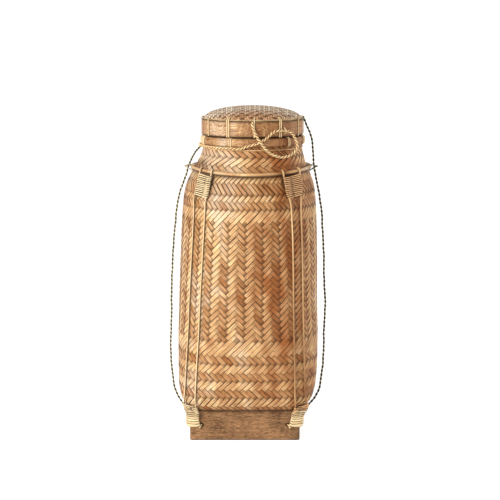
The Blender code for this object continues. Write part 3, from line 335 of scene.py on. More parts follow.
def body_half_width(z):
    share = share_of_body(z)
    low = BASE_RADIUS + (BELLY_RADIUS - BASE_RADIUS) * smooth_value(BASE_TO_BELLY, share)
    high = NECK_RADIUS + (BELLY_RADIUS - NECK_RADIUS) * smooth_value(BELLY_TO_NECK, share)
    return np.where(share < BASE_TO_BELLY[-1][0], low, high)


def body_squareness(z):
    return 2.0 + (BASE_SQUARENESS - 2.0) * smooth_value(SQUARENESS, share_of_body(z))


def body_centre_x(z):
    return FOOT_X + (NECK_X - FOOT_X) * smooth_value(LEAN, share_of_body(z))


def superellipse_radius(half_width, squareness, angle):
    s, c = np.abs(np.sin(angle)), np.abs(np.cos(angle))
    return half_width / (s ** squareness + c ** squareness) ** (1 / squareness)


def on_body(angle, z, standoff=0.0):
    """Point outside the body's wall."""
    slope = (body_half_width(z + WALL_PROBE) - body_half_width(z - WALL_PROBE)) / (2 * WALL_PROBE)
    half_width = body_half_width(z) + standoff * math.sqrt(1 + slope * slope)
    radius = superellipse_radius(half_width, body_squareness(z), angle)
    x, y = body_centre_x(z) + radius * math.sin(angle), -radius * math.cos(angle)
    return Vector((float(x), float(y), float(z)))


def lengths_along(path):
    steps = np.linalg.norm(np.diff(np.asarray(path, dtype=float), axis=0), axis=1)
    return np.concatenate([[0.0], np.cumsum(steps)])


# The wall as a table: places and normals over the length down the wall and the share of the way round
TABLE_STEP = 0.0006
TABLE_ROUND = 720
TABLE_HEIGHTS = 1600
UNDERSIDE_REACH = 0.072
UNDERSIDE_STEP = 0.0004
EDGE_ROUNDINGS = 14
EDGE_REACH = 9  # table steps to each side of the bottom edge that are rounded
EDGE_HEIGHT = 0.004  # of the rounded edge at the wall's bottom


def wall_table():
    """Lengths down the wall with the way round at each, and grids of places and normals."""
    z = np.linspace(WALL_TOP, BODY_BOTTOM, TABLE_HEIGHTS)
    width = body_half_width(z)
    inward = np.arange(BASE_RADIUS, UNDERSIDE_REACH, -UNDERSIDE_STEP)[1:]
    z = np.concatenate([z, np.full(len(inward), BODY_BOTTOM)])
    width = np.concatenate([width, inward])
    along = lengths_along(np.stack([z, width], axis=1))
    levels = np.arange(0.0, along[-1], TABLE_STEP)
    z, width = np.interp(levels, along, z), np.interp(levels, along, width)
    corner = int(np.argmax(z <= BODY_BOTTOM + 1e-6))
    first, end = corner - EDGE_REACH, corner + EDGE_REACH
    for _ in range(EDGE_ROUNDINGS):
        for row in (z, width):
            row[first:end] = (row[first - 1:end - 1] + row[first:end] + row[first + 1:end + 1]) / 3
    squareness, centre = body_squareness(z), body_centre_x(z)
    fine = np.linspace(0.0, 2 * math.pi, 2 * TABLE_ROUND + 1)
    shares = np.arange(TABLE_ROUND) / TABLE_ROUND
    places = np.empty((len(levels), TABLE_ROUND, 3))
    around = np.empty(len(levels))
    for i in range(len(levels)):
        radius = superellipse_radius(width[i], squareness[i], fine)
        x, y = radius * np.sin(fine), -radius * np.cos(fine)
        arc = lengths_along(np.stack([x, y], axis=1))
        around[i] = arc[-1]
        places[i, :, 0] = centre[i] + np.interp(shares * arc[-1], arc, x)
        places[i, :, 1] = np.interp(shares * arc[-1], arc, y)
        places[i, :, 2] = z[i]
    across = np.roll(places, -1, axis=1) - np.roll(places, 1, axis=1)
    normals = np.cross(np.gradient(places, axis=0), across)
    normals /= np.linalg.norm(normals, axis=2, keepdims=True)
    return levels, around, places, normals


wall_levels, wall_around, wall_places, wall_normals = wall_table()
wall_heights = wall_places[:, 0, 2]


def level_at(height):
    """Length down the wall to a height."""
    return np.interp(-height, -wall_heights, wall_levels)


def on_wall(share, level, height):
    """Points at a share of the way round, a length down the wall and a height off the outside."""
    i = np.clip(level / TABLE_STEP, 0, len(wall_levels) - 1.001)
    j = (share % 1.0) * TABLE_ROUND
    i0, j0 = i.astype(int), j.astype(int)
    fi, fj = (i - i0)[..., None], (j - j0)[..., None]
    j0 = j0 % TABLE_ROUND
    j1 = (j0 + 1) % TABLE_ROUND

    def between(table):
        return ((table[i0, j0] * (1 - fj) + table[i0, j1] * fj) * (1 - fi)
                + (table[i0 + 1, j0] * (1 - fj) + table[i0 + 1, j1] * fj) * fi)

    return between(wall_places) + between(wall_normals) * np.asarray(height)[..., None]


class Pile:
    """Strands gathered into one mesh, each a row of equal sections."""

    def __init__(self):
        self.points, self.loops, self.sizes, self.smooth = [], [], [], []
        self.strand, self.tint = [], []
        self.count = 0

    def add(self, rings, along, tone, stain=0.0, dirt=0.0, depth=0.0, across=None, closed=False, flat=()):
        """rings is (sections, sides, 3); flat names the sides shaded flat."""
        rows, sides = rings.shape[:2]
        ids = self.count + np.arange(rows * sides).reshape(rows, sides)
        start, end = (ids, np.roll(ids, -1, axis=0)) if closed else (ids[:-1], ids[1:])
        quads = np.stack([start, end, np.roll(end, -1, axis=1), np.roll(start, -1, axis=1)], axis=-1)
        soft = np.ones(quads.shape[:2], dtype=bool)
        soft[:, list(flat)] = False
        self.loops.append(quads.reshape(-1))
        self.sizes.append(np.full(quads.shape[0] * sides, 4))
        self.smooth.append(soft.reshape(-1))
        if not closed:
            self.loops += [ids[0], ids[-1][::-1]]
            self.sizes.append(np.array([sides, sides]))
            self.smooth.append(np.array([False, False]))

        def for_each_point(*values):
            return np.stack([np.broadcast_to(v, (rows, sides)) for v in values], axis=-1).reshape(-1, 3)

        self.points.append(rings.reshape(-1, 3))
        self.strand.append(for_each_point(by_section(along), across, by_section(depth)))
        self.tint.append(for_each_point(by_section(tone), by_section(stain), by_section(dirt)))
        self.count += rows * sides

    def build(self, name, material, body, slot, replaces):
        """Makes the strands one object. A cord has no body here: make_cord ties it to its own, where it has
        one.
        """
        mesh = bpy.data.meshes.new(name)
        points, loops, sizes = (np.concatenate(lists) for lists in (self.points, self.loops, self.sizes))
        mesh.vertices.add(len(points))
        mesh.vertices.foreach_set("co", points.reshape(-1))
        mesh.loops.add(len(loops))
        mesh.loops.foreach_set("vertex_index", loops.astype(np.int32))
        mesh.polygons.add(len(sizes))
        mesh.polygons.foreach_set("loop_start", np.concatenate([[0], np.cumsum(sizes)[:-1]]).astype(np.int32))
        mesh.polygons.foreach_set("use_smooth", np.concatenate(self.smooth))
        for key, values in (("strand", self.strand), ("tint", self.tint)):
            layer = mesh.attributes.new(key, "FLOAT_VECTOR", "POINT")
            layer.data.foreach_set("vector", np.concatenate(values).reshape(-1).astype(np.float32))
        mesh.update(calc_edges=True)
        mesh.validate()
        mesh.materials.append(material)
        obj = bpy.data.objects.new(name, mesh)
        bpy.context.scene.collection.objects.link(obj)
        if body:
            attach(obj, body)
        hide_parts(replaces)
        return obj


def by_section(value):
    """A single value, one for each section, or one for each point."""
    value = np.asarray(value, dtype=float)
    return value[:, None] if value.ndim == 1 else value


def path_frames(path, normals=None, closed=False):
    """Sides and outward directions along a path, near the given normals, which may be one for all."""
    if closed:
        tangents = np.roll(path, -1, axis=0) - np.roll(path, 1, axis=0)
    else:
        tangents = np.gradient(path, axis=0)
    tangents /= np.linalg.norm(tangents, axis=1, keepdims=True)
    if normals is None:
        normals = np.empty_like(path)
        guess = np.array([0.0, -1.0, 0.2])
        for i, tangent in enumerate(tangents):
            guess = guess - tangent * guess.dot(tangent)
            guess /= np.linalg.norm(guess)
            normals[i] = guess
    side = np.cross(tangents, normals)
    side /= np.linalg.norm(side, axis=1, keepdims=True)
    return side, np.cross(side, tangents)


def as_points(vectors):
    """Array of the vectors, a row each."""
    return np.array([tuple(v) for v in vectors])


def smooth_path(route, step):
    """Points about a step apart on a smooth curve through the route."""
    route = [Vector(p) for p in route]
    ends = [route[0] * 2 - route[1]] + route + [route[-1] * 2 - route[-2]]
    dense = []
    for i in range(1, len(ends) - 2):
        p0, p1, p2, p3 = ends[i - 1:i + 3]
        t01, t12, t23 = [max((b - a).length, 1e-9) ** 0.5 for a, b in ((p0, p1), (p1, p2), (p2, p3))]
        m1 = (p2 - p1) + t12 * ((p1 - p0) / t01 - (p2 - p0) / (t01 + t12))
        m2 = (p2 - p1) + t12 * ((p3 - p2) / t23 - (p3 - p1) / (t12 + t23))
        for k in range(24):
            t = k / 24
            dense.append(p1 * (2 * t ** 3 - 3 * t ** 2 + 1) + m1 * (t ** 3 - 2 * t ** 2 + t)
                         + p2 * (-2 * t ** 3 + 3 * t ** 2) + m2 * (t ** 3 - t ** 2))
    dense.append(route[-1])
    dense = as_points(dense)
    along = lengths_along(dense)
    wanted = np.linspace(0.0, along[-1], max(2, round(along[-1] / step)) + 1)
    return np.stack([np.interp(wanted, along, dense[:, k]) for k in range(3)], axis=1)


def sections(path, side, out, across, high):
    """Sections along a path, whose points lie at across and high in its side and outward directions."""
    return path[:, None] + side[:, None] * across[..., None] + out[:, None] * high[..., None]


def add_tube(pile, path, radius, sides, tone, normals=None, closed=False, **tints):
    """Round rod along a path; radius may vary along it."""
    side, out = path_frames(path, normals, closed)
    cos, sin, radius = np.cos(full_turn(sides)), np.sin(full_turn(sides)), by_section(radius)
    pile.add(sections(path, side, out, radius * cos, radius * sin), lengths_along(path), tone, closed=closed,
             across=cos, **tints)


def add_flat(pile, path, normals, width, thickness, tone, **tints):
    """Strand of a flattened oval section."""
    path = as_points(path)
    side, out = path_frames(path, as_points(normals))
    turn = full_turn(8) + math.pi / 8
    u, v = (np.sign(f(turn)) * np.abs(f(turn)) ** 0.8 for f in (np.cos, np.sin))
    pile.add(sections(path, side, out, by_section(width) / 2 * u, thickness / 2 * v[None]),
             lengths_along(path) + rng.uniform(0, 5), tone, across=u, **tints)


# Materials
def srgb(r, g, b):
    return tuple(((c / 255 + 0.055) / 1.055) ** 2.4 if c > 10 else c / 255 / 12.92 for c in (r, g, b))


class Nodes:
    """Short way to wire a material's nodes."""

    def __init__(self, name):
        self.material = bpy.data.materials.new(name)
        self.material.use_nodes = True
        self.tree = self.material.node_tree
        self.shader = self.tree.nodes["Principled BSDF"]

    def put(self, socket, value):
        """Links a node's output to a socket, or sets the socket to a value."""
        if isinstance(value, bpy.types.NodeSocket):
            self.tree.links.new(value, socket)
        else:
            socket.default_value = value

    def node(self, kind, inputs=None, **settings):
        node = self.tree.nodes.new(kind)
        for key, value in settings.items():
            setattr(node, key, value)
        for key, value in (inputs or {}).items():
            self.put(node.inputs[key], value)
        return node

    def math(self, operation, *values, clamp=False):
        node = self.node("ShaderNodeMath", dict(enumerate(values)), operation=operation, use_clamp=clamp)
        return node.outputs[0]

    def mix(self, share, a, b):
        a, b = ((*c, 1.0) if isinstance(c, tuple) else c for c in (a, b))
        return self.node("ShaderNodeMix", {0: share, 6: a, 7: b}, data_type="RGBA").outputs[2]

    def attribute(self, name):
        vector = self.node("ShaderNodeAttribute", attribute_name=name).outputs["Vector"]
        return self.node("ShaderNodeSeparateXYZ", {"Vector": vector}).outputs

    def noise(self, vector, scale=1.0, detail=3.0, roughness=0.6):
        return self.node("ShaderNodeTexNoise", {"Vector": vector, "Scale": scale, "Detail": detail,
                                                "Roughness": roughness}).outputs[0]

    def join(self, x, y, z):
        return self.node("ShaderNodeCombineXYZ", {"X": x, "Y": y, "Z": z}).outputs[0]

    def streaks(self, strand, shift, along, across, detail):
        """Noise stretched along the fibre, another for each strand."""
        place = self.join(self.math("MULTIPLY", strand[0], along),
                          self.math("MULTIPLY_ADD", strand[1], across, shift), shift)
        return self.noise(place, detail=detail)

    def ramp(self, value, low, high, to_low=0.0, to_high=1.0):
        return self.node("ShaderNodeMapRange", {0: value, 1: low, 2: high, 3: to_low, 4: to_high},
                         interpolation_type="SMOOTHSTEP").outputs[0]

    def bump(self, height, strength, distance):
        normal = self.node("ShaderNodeBump", {"Height": height, "Strength": strength, "Distance": distance})
        self.tree.links.new(normal.outputs[0], self.shader.inputs["Normal"])

    def finish(self, colour, roughness, specular):
        self.put(self.shader.inputs["Base Color"], colour)
        self.put(self.shader.inputs["Roughness"], roughness)
        self.put(self.shader.inputs["Specular IOR Level"], specular)
        return self.material


# Colours of a stain below 0: bleaching, and in places a painted highlight.
BLEACH_AND_HIGHLIGHT = (srgb(178, 146, 114), srgb(238, 220, 196))
STRAND_SHIFT = 41.3  # sets strands of different tones apart in the noise


def dark_lines(n, strand, streak, fine, shift, rate, strength):
    """Thin dark lines along the fibre, fainter in places."""
    line = n.math("MULTIPLY_ADD", strand[1], rate, n.math("MULTIPLY_ADD", streak, 2.4, shift))
    line = n.math("ABSOLUTE", n.math("SUBTRACT", n.math("FRACT", line), 0.5))
    return n.math("MULTIPLY", n.ramp(line, 0.2, 0.05), n.ramp(fine, 0.38, 0.58, strength * 0.3, strength))


def cane_material(name, dark, light, stained, along=45.0, across=0.95, contrast=0.5, roughness=0.5,
                  dirt_and_shade_colour=(0.038, 0.012, 0.002), depth_shade=0.0, edge=0.0, lines=0.0, line_rate=1.5):
    """Split bamboo or cane: streaks and lines along the fibre, a tone for each strand, stains, dirt, and
    painted shade at the edges and where a strand lies under.
    """
    n = Nodes(name)
    strand, tint = n.attribute("strand"), n.attribute("tint")
    shift = n.math("MULTIPLY", tint[0], STRAND_SHIFT)
    streak = n.streaks(strand, shift, along, across, 2.0)
    fine = n.streaks(strand, shift, along * 1.5, across * 2.1, 1.0)
    tone = n.math("MULTIPLY_ADD", n.math("SUBTRACT", streak, 0.5), contrast * 1.6, tint[0])
    tone = n.math("MULTIPLY_ADD", n.math("SUBTRACT", fine, 0.5), contrast * 1.2, tone, clamp=True)
    colour = n.mix(tone, dark, light)
    stain = n.mix(tone, tuple(c * 0.45 for c in stained), stained)
    colour = n.mix(n.math("MAXIMUM", tint[1], 0.0), colour, stain)
    colour = n.mix(n.math("MULTIPLY", tint[1], -1.0, clamp=True), colour, n.mix(tone, *BLEACH_AND_HIGHLIGHT))
    dirt = [n.math("MULTIPLY", tint[2], 0.97, clamp=True)]
    if lines:
        dirt.append(dark_lines(n, strand, streak, fine, shift, line_rate, lines))
    # Painted shade along the strand's edges.
    if edge:
        dirt.append(n.ramp(n.math("ABSOLUTE", strand[1]), 0.7, 0.95, 0.0, edge))
    # Painted shade where the strand lies deep, under others.
    if depth_shade:
        dirt.append(n.ramp(strand[2], 0.35, -0.6, 0.0, depth_shade))
    darkest = dirt[0]
    for other in dirt[1:]:
        darkest = n.math("MAXIMUM", darkest, other)
    n.bump(fine, 0.25, 0.0004)
    roughness = n.ramp(fine, 0.2, 0.8, roughness - 0.07, roughness + 0.12)
    return n.finish(n.mix(darkest, colour, dirt_and_shade_colour), roughness, 0.22)


def wood_material():
    """Old dull hardwood with fine straight grain along X, mottled, darker to the right and at the floor."""
    n = Nodes("foot_wood")
    place = n.node("ShaderNodeTexCoord").outputs["Object"]

    def stretched(scales, **settings):
        return n.noise(n.node("ShaderNodeMapping", {"Vector": place, "Scale": scales}).outputs[0], **settings)

    grain = stretched((14.0, 120.0, 130.0), scale=2.2, detail=4.0)
    pores = stretched((110.0, 500.0, 420.0), scale=1.5, detail=2.0)
    broad = n.noise(place, scale=34.0, detail=3.0)
    tone = n.ramp(grain, 0.2, 0.8, 0.2, 0.8)
    tone = n.math("MULTIPLY_ADD", n.ramp(pores, 0.36, 0.64, -0.5, 0.5), 0.55, tone)
    tone = n.math("MULTIPLY_ADD", n.math("SUBTRACT", broad, 0.5), 1.3, tone, clamp=True)
    side = n.node("ShaderNodeSeparateXYZ", {"Vector": place}).outputs
    colour = n.mix(tone, srgb(84, 56, 32), srgb(160, 118, 80))
    colour = n.mix(n.ramp(side[0], 0.052, 0.084, 0.0, 0.55), colour, srgb(74, 56, 38))
    colour = n.mix(n.ramp(side[2], 0.0024, 0.0006, 0.0, 0.7), colour, srgb(52, 42, 30))
    n.bump(n.math("ADD", grain, pores), 0.35, 0.0004)
    return n.finish(colour, n.ramp(pores, 0.2, 0.8, 0.6, 0.8), 0.2)


def cord_material(name, dark, light, dirt_and_shade_colour, groove=(0.8, 0.1)):
    """Twisted plant fibre: fine twisted streaks, with painted shade in the groove between the plies."""
    n = Nodes(name)
    strand, tint = n.attribute("strand"), n.attribute("tint")
    place = n.join(n.math("MULTIPLY", strand[0], 350.0), n.math("MULTIPLY", strand[1], 5.0), tint[0])
    fibre = n.noise(place, detail=2.0)
    broad = n.noise(n.join(n.math("MULTIPLY", strand[0], 55.0), tint[0], 0.0), detail=1.0)
    tone = n.math("ADD", n.math("MULTIPLY", fibre, 0.6), n.math("MULTIPLY", broad, 0.5))
    colour = n.mix(n.ramp(tone, 0.3, 0.8), dark, light)
    colour = n.mix(n.ramp(strand[2], *groove, 0.0, 0.95), colour, dirt_and_shade_colour)
    # Dirt and painted shade from the strand's tint.
    colour = n.mix(tint[2], colour, dirt_and_shade_colour)
    n.bump(fibre, 0.3, 0.0003)
    return n.finish(colour, 0.75, 0.25)


weave_mat = cane_material("woven_bamboo", srgb(150, 86, 32), srgb(235, 196, 141), srgb(170, 97, 42),
                          across=1.1, contrast=0.5, edge=0.92, depth_shade=0.8, lines=0.75)
liner_mat = cane_material("lining", srgb(60, 30, 12), srgb(104, 60, 28), srgb(70, 36, 16),
                          along=8.0, across=1.0)
band_mat = cane_material("bamboo_band", srgb(128, 78, 38), srgb(214, 172, 122), srgb(146, 84, 38),
                         along=7.0, across=2.4, contrast=1.05, lines=0.9, line_rate=4.0)
rod_mat = cane_material("cane_rod", srgb(176, 122, 70), srgb(240, 204, 150), srgb(150, 94, 50), along=22.0,
                        across=1.2, contrast=0.6, roughness=0.42)
lashing_mat = cane_material("cane_lashing", srgb(178, 128, 74), srgb(246, 222, 174), srgb(220, 138, 70),
                            along=60.0, across=1.5, contrast=0.5, edge=0.7, dirt_and_shade_colour=(0.05, 0.018, 0.004))
dome_mat = cane_material("lid_weave", srgb(160, 116, 76), srgb(255, 240, 214), srgb(200, 132, 70),
                         contrast=0.8, edge=0.8, depth_shade=0.75)
dark_cord_mat = cord_material("dark_cord", srgb(52, 44, 28), srgb(176, 158, 120), (0.002, 0.0015, 0.001),
                              groove=(0.95, 0.4))
olive_cord_mat = cord_material("olive_cord", srgb(116, 108, 72), srgb(204, 194, 150), (0.006, 0.004, 0.001),
                               groove=(0.9, 0.3))
light_cord_mat = cord_material("light_cord", srgb(210, 160, 100), srgb(250, 226, 176), (0.075, 0.028, 0.008))


# Body weave
def over_map(rows_top, column_units, rows_bottom):
    """For each crossing height, None in the columns or the direction that lies on top in that row."""
    top = [letter for letter, count in rows_top for _ in range(count)]
    bottom = [letter for letter, count in rows_bottom for _ in range(count)]
    return top + [None] * column_units + bottom


def on_top(letter, plan, height, position):
    """Whether the strip that slants like the letter is on top at a crossing."""
    row = plan[min(max(height, 0), len(plan) - 1)]
    if row is None:
        row = "/" if position % 6 in (5, 0, 1) else "\\"
    return row == letter


def blotches(places, size, seed):
    """Soft patches from -1 to 1 of about the given size."""
    draw = np.random.default_rng(seed)
    total = np.zeros(places.shape[:-1])
    for _ in range(9):
        way = draw.normal(size=3) * (1.0, 1.0, 0.7)
        way /= np.linalg.norm(way)
        total += np.sin(places @ way * draw.uniform(2.2, 5.5) / size + draw.uniform(0, 6.28))
    return np.clip(total / 3.2, -1, 1)


def smoke(angle):
    """Even brown smoke stain of the right side."""
    return 0.54 * np.exp(-np.abs(turn_from(angle, 0.72) / 0.72) ** 2.4)


def stain_at(places):
    """Broad stains: smoke on the right, soft patches, and a paler area high on the left that is in part a
    painted highlight.
    """
    angle, z = np.arctan2(places[..., 0], -places[..., 1]), places[..., 2]
    total = smoke(angle) + 0.22 * blotches(places, 0.05, 61) + 0.26 * blotches(places, 0.017, 62) - 0.04
    for at, wide, level, tall, amount in STAIN_PATCHES:
        total += amount * near(angle, at, wide) * np.exp(-((z - level) / tall) ** 2)
    return np.clip(total, -0.8, 0.95)


def shade_and_grime_at(places):
    """Painted shade round and under the ring, under the lashings and beside the stays there, and at the
    bottom edge; and a dark patch below the hoop's left.
    """
    z = places[..., 2]
    angle = np.arctan2(places[..., 0] - body_centre_x(z), -places[..., 1])
    below = ring_height(angle) - z
    # Painted shadow under the ring.
    total = 0.85 * np.exp(-((below - 0.0025) / 0.0042) ** 4)
    total = np.maximum(total, 0.95 * smooth_step((BODY_BOTTOM + 0.0075 - z) / 0.005))
    lashed = smooth_step((below - 0.003) / 0.002) * smooth_step((0.0375 - below) / 0.002)
    share = share_of_body(z)
    for sx in (-1, 1):
        middle, spread = smooth_value(STAY_BISECTOR[sx], share), smooth_value(STAY_HALF_SPREAD[sx], share)
        for at in (middle, 180 - middle):
            off = np.degrees(np.abs(turn_from(angle, sx * np.radians(at))))
            total = np.maximum(total, 0.85 * smooth_step((spread + 1.6 - off) / 1.2) * lashed)
    under_hoop = near(angle, -1.12, 0.17) * np.exp(-((z - 0.4155) / 0.006) ** 2)
    return np.clip(np.maximum(total, 0.8 * under_hoop), 0, 1)


def crossing_levels(strips, stretch, table):
    """Crossings passed at each length down the wall: by the table of heights, and evenly beyond it."""
    edges, marks = np.array(table)[::-1].T
    inside = (wall_heights <= edges[-1]) & (wall_heights >= edges[0])
    even = TABLE_STEP * 2 * strips / stretch / wall_around
    rate = np.where(inside, np.gradient(np.interp(wall_heights, edges, marks)), even)
    rate[8:-8] = np.convolve(rate, np.ones(9) / 9, "same")[8:-8]
    passed = np.cumsum(rate)
    return passed - np.interp(-edges[-1], -wall_heights, passed) + marks[-1]


def ring_height(angle):
    return RING_HEIGHT - RING_DROOP / 2 * np.cos(2 * angle)


def in_pairs(crossings):
    """Two rows of a strip for each crossing, a third of a crossing before and after it."""
    return np.stack([crossings - 0.33, crossings + 0.33], axis=1).reshape(-1)


def follow_runs(top, draw, tone_spread):
    """Each crossing's place in its run on one side, the run's length and the run's change of tone."""
    edges = np.concatenate([[0], np.nonzero(np.diff(top))[0] + 1, [len(top)]])
    place, length, tone = np.empty((3, len(top)))
    for first, end in zip(edges[:-1], edges[1:]):
        length[first:end] = end - first
        place[first:end] = np.arange(end - first) + 0.5
        tone[first:end] = draw.normal(0, tone_spread)
    return place, length, tone


class Zone:
    """One field of the weave, above or below the ring. low and high are crossings, counted downwards."""

    def __init__(self, name, strips, stretch, table, plan, low, high, above_ring, seed, turn=0.0):
        self.name, self.strips, self.plan, self.above_ring, self.turn = name, strips, plan, above_ring, turn
        self.slant = math.atan(1 / stretch)
        self.heights_at = crossing_levels(strips, stretch, table)
        self.crossings = np.arange(low, (high or int(self.heights_at[-1]) + 1) + 1)
        self.draw = np.random.default_rng(seed)

    def weave(self):
        """Builds both directions of strips."""
        for letter, sign, way in (("\\", 1, "down"), ("/", -1, "up")):
            pile, pieces = Pile(), 0
            for i in range(self.strips):
                self.add_strip(pile, i, letter, sign)
                if pile.count > MOST_POINTS or (i == self.strips - 1 and pile.count):
                    pieces += 1
                    pile.build("%s_%s_%d" % (self.name, way, pieces), weave_mat, "basket", "woven_bamboo",
                               "body_shell")
                    pile = Pile()

    def rows_inside(self, level, centre):
        """Rows of a strip in the zone and one more at the ring, whose level is moved to the ring's."""
        border = level_at(ring_height(2 * math.pi * centre) + (0.0005 if self.above_ring else -0.0005))
        keep = level <= border if self.above_ring else level >= border
        keep &= (level >= 0) & (level <= wall_levels[-1])
        if keep.sum() < 3:
            return None, None
        first, last = np.nonzero(keep)[0][[0, -1]]
        if self.above_ring:
            last = min(last + 1, len(level) - 1)
            level[last] = min(level[last], border[last])
        else:
            first = max(first - 1, 0)
            level[first] = max(level[first], border[first])
        return slice(first, last + 1), level[first:last + 1]

    def add_strip(self, pile, i, letter, sign):
        draw, strips = self.draw, self.strips
        top = np.array([on_top(letter, self.plan, h, 2 * i + sign * h) for h in self.crossings])
        place, length, tone = follow_runs(top, draw, RUN_TONES[letter])
        upper = in_pairs(place)
        lower = np.repeat(length, 2) - upper
        up = np.where(np.repeat(top, 2), 1.0, -1.0)
        arch = 0.25 + 0.75 * np.sin(math.pi / 2 * np.minimum(np.minimum(upper, lower) / 1.5, 1.0))
        tone = np.repeat(tone, 2) + draw.normal(0.5, 0.09) + STRIP_TONE[letter]
        h = in_pairs(self.crossings)
        centre = self.turn + i / strips + sign * h / (2 * strips) + draw.normal(0, 0.03) / strips
        level = np.interp(h, self.heights_at, wall_levels)
        width = 0.5 * draw.uniform(0.97, 1.0) * np.interp(level, wall_levels, wall_around) / strips
        rows, level = self.rows_inside(level, centre)
        if rows is None:
            return
        half = (width * math.cos(self.slant))[rows, None] * STRIP_ACROSS
        around = np.interp(level, wall_levels, wall_around)[:, None]
        high = (-WEAVE_INSET + (up * arch)[rows] * WEAVE_DEPTH)[:, None] + STRIP_HIGH * STRIP_THICKNESS
        points = on_wall(centre[rows, None] + half * math.cos(self.slant) / around,
                         level[:, None] - sign * half * math.sin(self.slant), high)
        # Painted shade at the ends of each float, where the strip dives under, and over the parts under other
        # strips; then the wall's painted shade.
        end_shade = np.maximum(0.5 * np.clip(0.6 - upper, 0, 1),
                              LOWER_END_SHADE[letter] * np.clip(0.75 - lower, 0, 1))
        dirt = np.maximum(np.where(up > 0, end_shade, 0.7)[rows, None], shade_and_grime_at(points))
        pile.add(points, lengths_along(points[:, 2]) + draw.uniform(0, 5), tone[rows], stain=stain_at(points),
                 dirt=dirt, depth=(up * arch)[rows], across=STRIP_ACROSS, flat=STRIP_FLAT)


def make_weave():
    plan = over_map(TOP_ROWS, COLUMN_UNITS, BOTTOM_ROWS)
    Zone("body_weave", BODY_STRIPS, BODY_UNIT_STRETCH, CROSSINGS_AT, plan, low=-4, high=None,
         above_ring=False, seed=11, turn=BODY_TURN).weave()
    plan = over_map(NECK_ROWS, 0, ())
    Zone("neck_weave", NECK_STRIPS, NECK_UNIT_STRETCH, NECK_CROSSINGS_AT, plan, low=-6, high=13,
         above_ring=True, seed=12).weave()


def make_body_lining():
    """Dark shell behind the weave, closed by the basket's floor."""
    sides = 96
    shares = np.arange(sides) / sides

    def rings(first_level, last_level, count, high):
        return [on_wall(shares, np.full(sides, level), np.full(sides, high))
                for level in np.linspace(first_level, last_level, count)]

    inner = rings(0.0, level_at(BODY_BOTTOM + EDGE_HEIGHT), 80, -BODY_WALL)
    floor = inner[-1].copy()
    middle = np.array([float(body_centre_x(BODY_BOTTOM)), 0.0])
    floor[:, :2] = middle + (floor[:, :2] - middle) * 0.985
    floor[:, 2] = BODY_BOTTOM + BODY_FLOOR
    shell = np.array(rings(0.0, wall_levels[-1] - 0.001, 90, -LINING_INSET)[::-1] + inner + [floor])
    shell[:, :, 2] = np.minimum(shell[:, :, 2], WALL_TOP)
    pile = Pile()
    pile.add(shell, lengths_along(shell[:, 0]), 0.5, across=np.linspace(0, 60, sides))
    pile.build("body_lining", liner_mat, "basket", "woven_bamboo", "body_shell")


# Turned pieces
def turned(name, section, material, body, slot, replaces, seed, sides=160, tone=0.5, flat=(), stain=None,
           dirt=None):
    """Ring round the neck's axis, of a section of (radius, height) points; stain, and dirt with painted
    shade, go by angle.
    """
    turn = full_turn(sides)
    section = np.array(section)
    stain = stain(turn) if stain else smoke(turn) + 0.2 * wavy(turn * 14, seed + 7)
    pile = Pile()
    pile.add(about_neck(section[:, 0], turn[:, None], section[:, 1]), turn * section[:, 0].max(),
             tone + 0.18 * wavy(turn * 3, seed + 3), stain, dirt(turn) if dirt else 0.0, closed=True,
             across=lengths_along(section) * 90, flat=flat)
    pile.build(name, material, body, slot, replaces)


def hoop_half(standoff, count=13):
    """The hoop's rounded face from top to bottom, or a line off it, as (radius, height) points."""
    shares = np.sin(np.linspace(math.pi / 2 * 0.96, -math.pi / 2 * 0.96, count))
    bulge = (1 - np.abs(shares) ** HOOP_ROUNDNESS) ** (1 / HOOP_ROUNDNESS)
    middle = (HOOP_TOP + HOOP_BOTTOM) / 2
    return [(HOOP_INNER_RADIUS + (HOOP_THICKNESS + standoff) * b, middle + (HOOP_HEIGHT / 2 + standoff) * s)
            for b, s in zip(bulge, shares)]


def shade_beside_ties(turn, angles, half_width, amount):
    """Painted shade beside the ties at the given angles, in a line half_width mm from each tie's middle."""
    total = np.zeros(len(turn))
    for angle in angles:
        off = np.abs(turn_from(turn, math.radians(angle))) * 1000 * BAND_RADIUS
        total = np.maximum(total, amount * np.exp(-((off - half_width - 0.6) / 0.55) ** 2))
    return total


def make_hoop():
    # Painted shade along the hoop's top and bottom edges, where it meets the parts above and below, and
    # beside the ties.
    edge_shade = np.array([1.0, 0.75, 0.45, 0.2, 0.05, 0, 0, 0, 0, 0, 0.1, 0.35, 0.7, 0.9, 1.0])

    def stain(turn):
        # A paler knob at the left end, and a painted highlight at the left front.
        pale_and_highlight = near(turn, -1.42, 0.16) + 0.75 * near(turn, -0.62, 0.16)
        return 0.15 + smoke(turn) - pale_and_highlight + 0.3 * wavy(turn * 9, 12)

    def dirt(turn):
        ties = shade_beside_ties(turn, NECK_LASHING_ANGLES, half_width=1.7, amount=0.7)
        return np.maximum(0.85 * edge_shade, ties[:, None])

    section = [(HOOP_INNER_RADIUS, HOOP_TOP)] + hoop_half(0.0) + [(HOOP_INNER_RADIUS, HOOP_BOTTOM)]
    turned("neck_hoop_bamboo", section, band_mat, "basket", "bamboo_band", "neck_hoop", seed=5, sides=540,
           stain=stain, dirt=dirt)


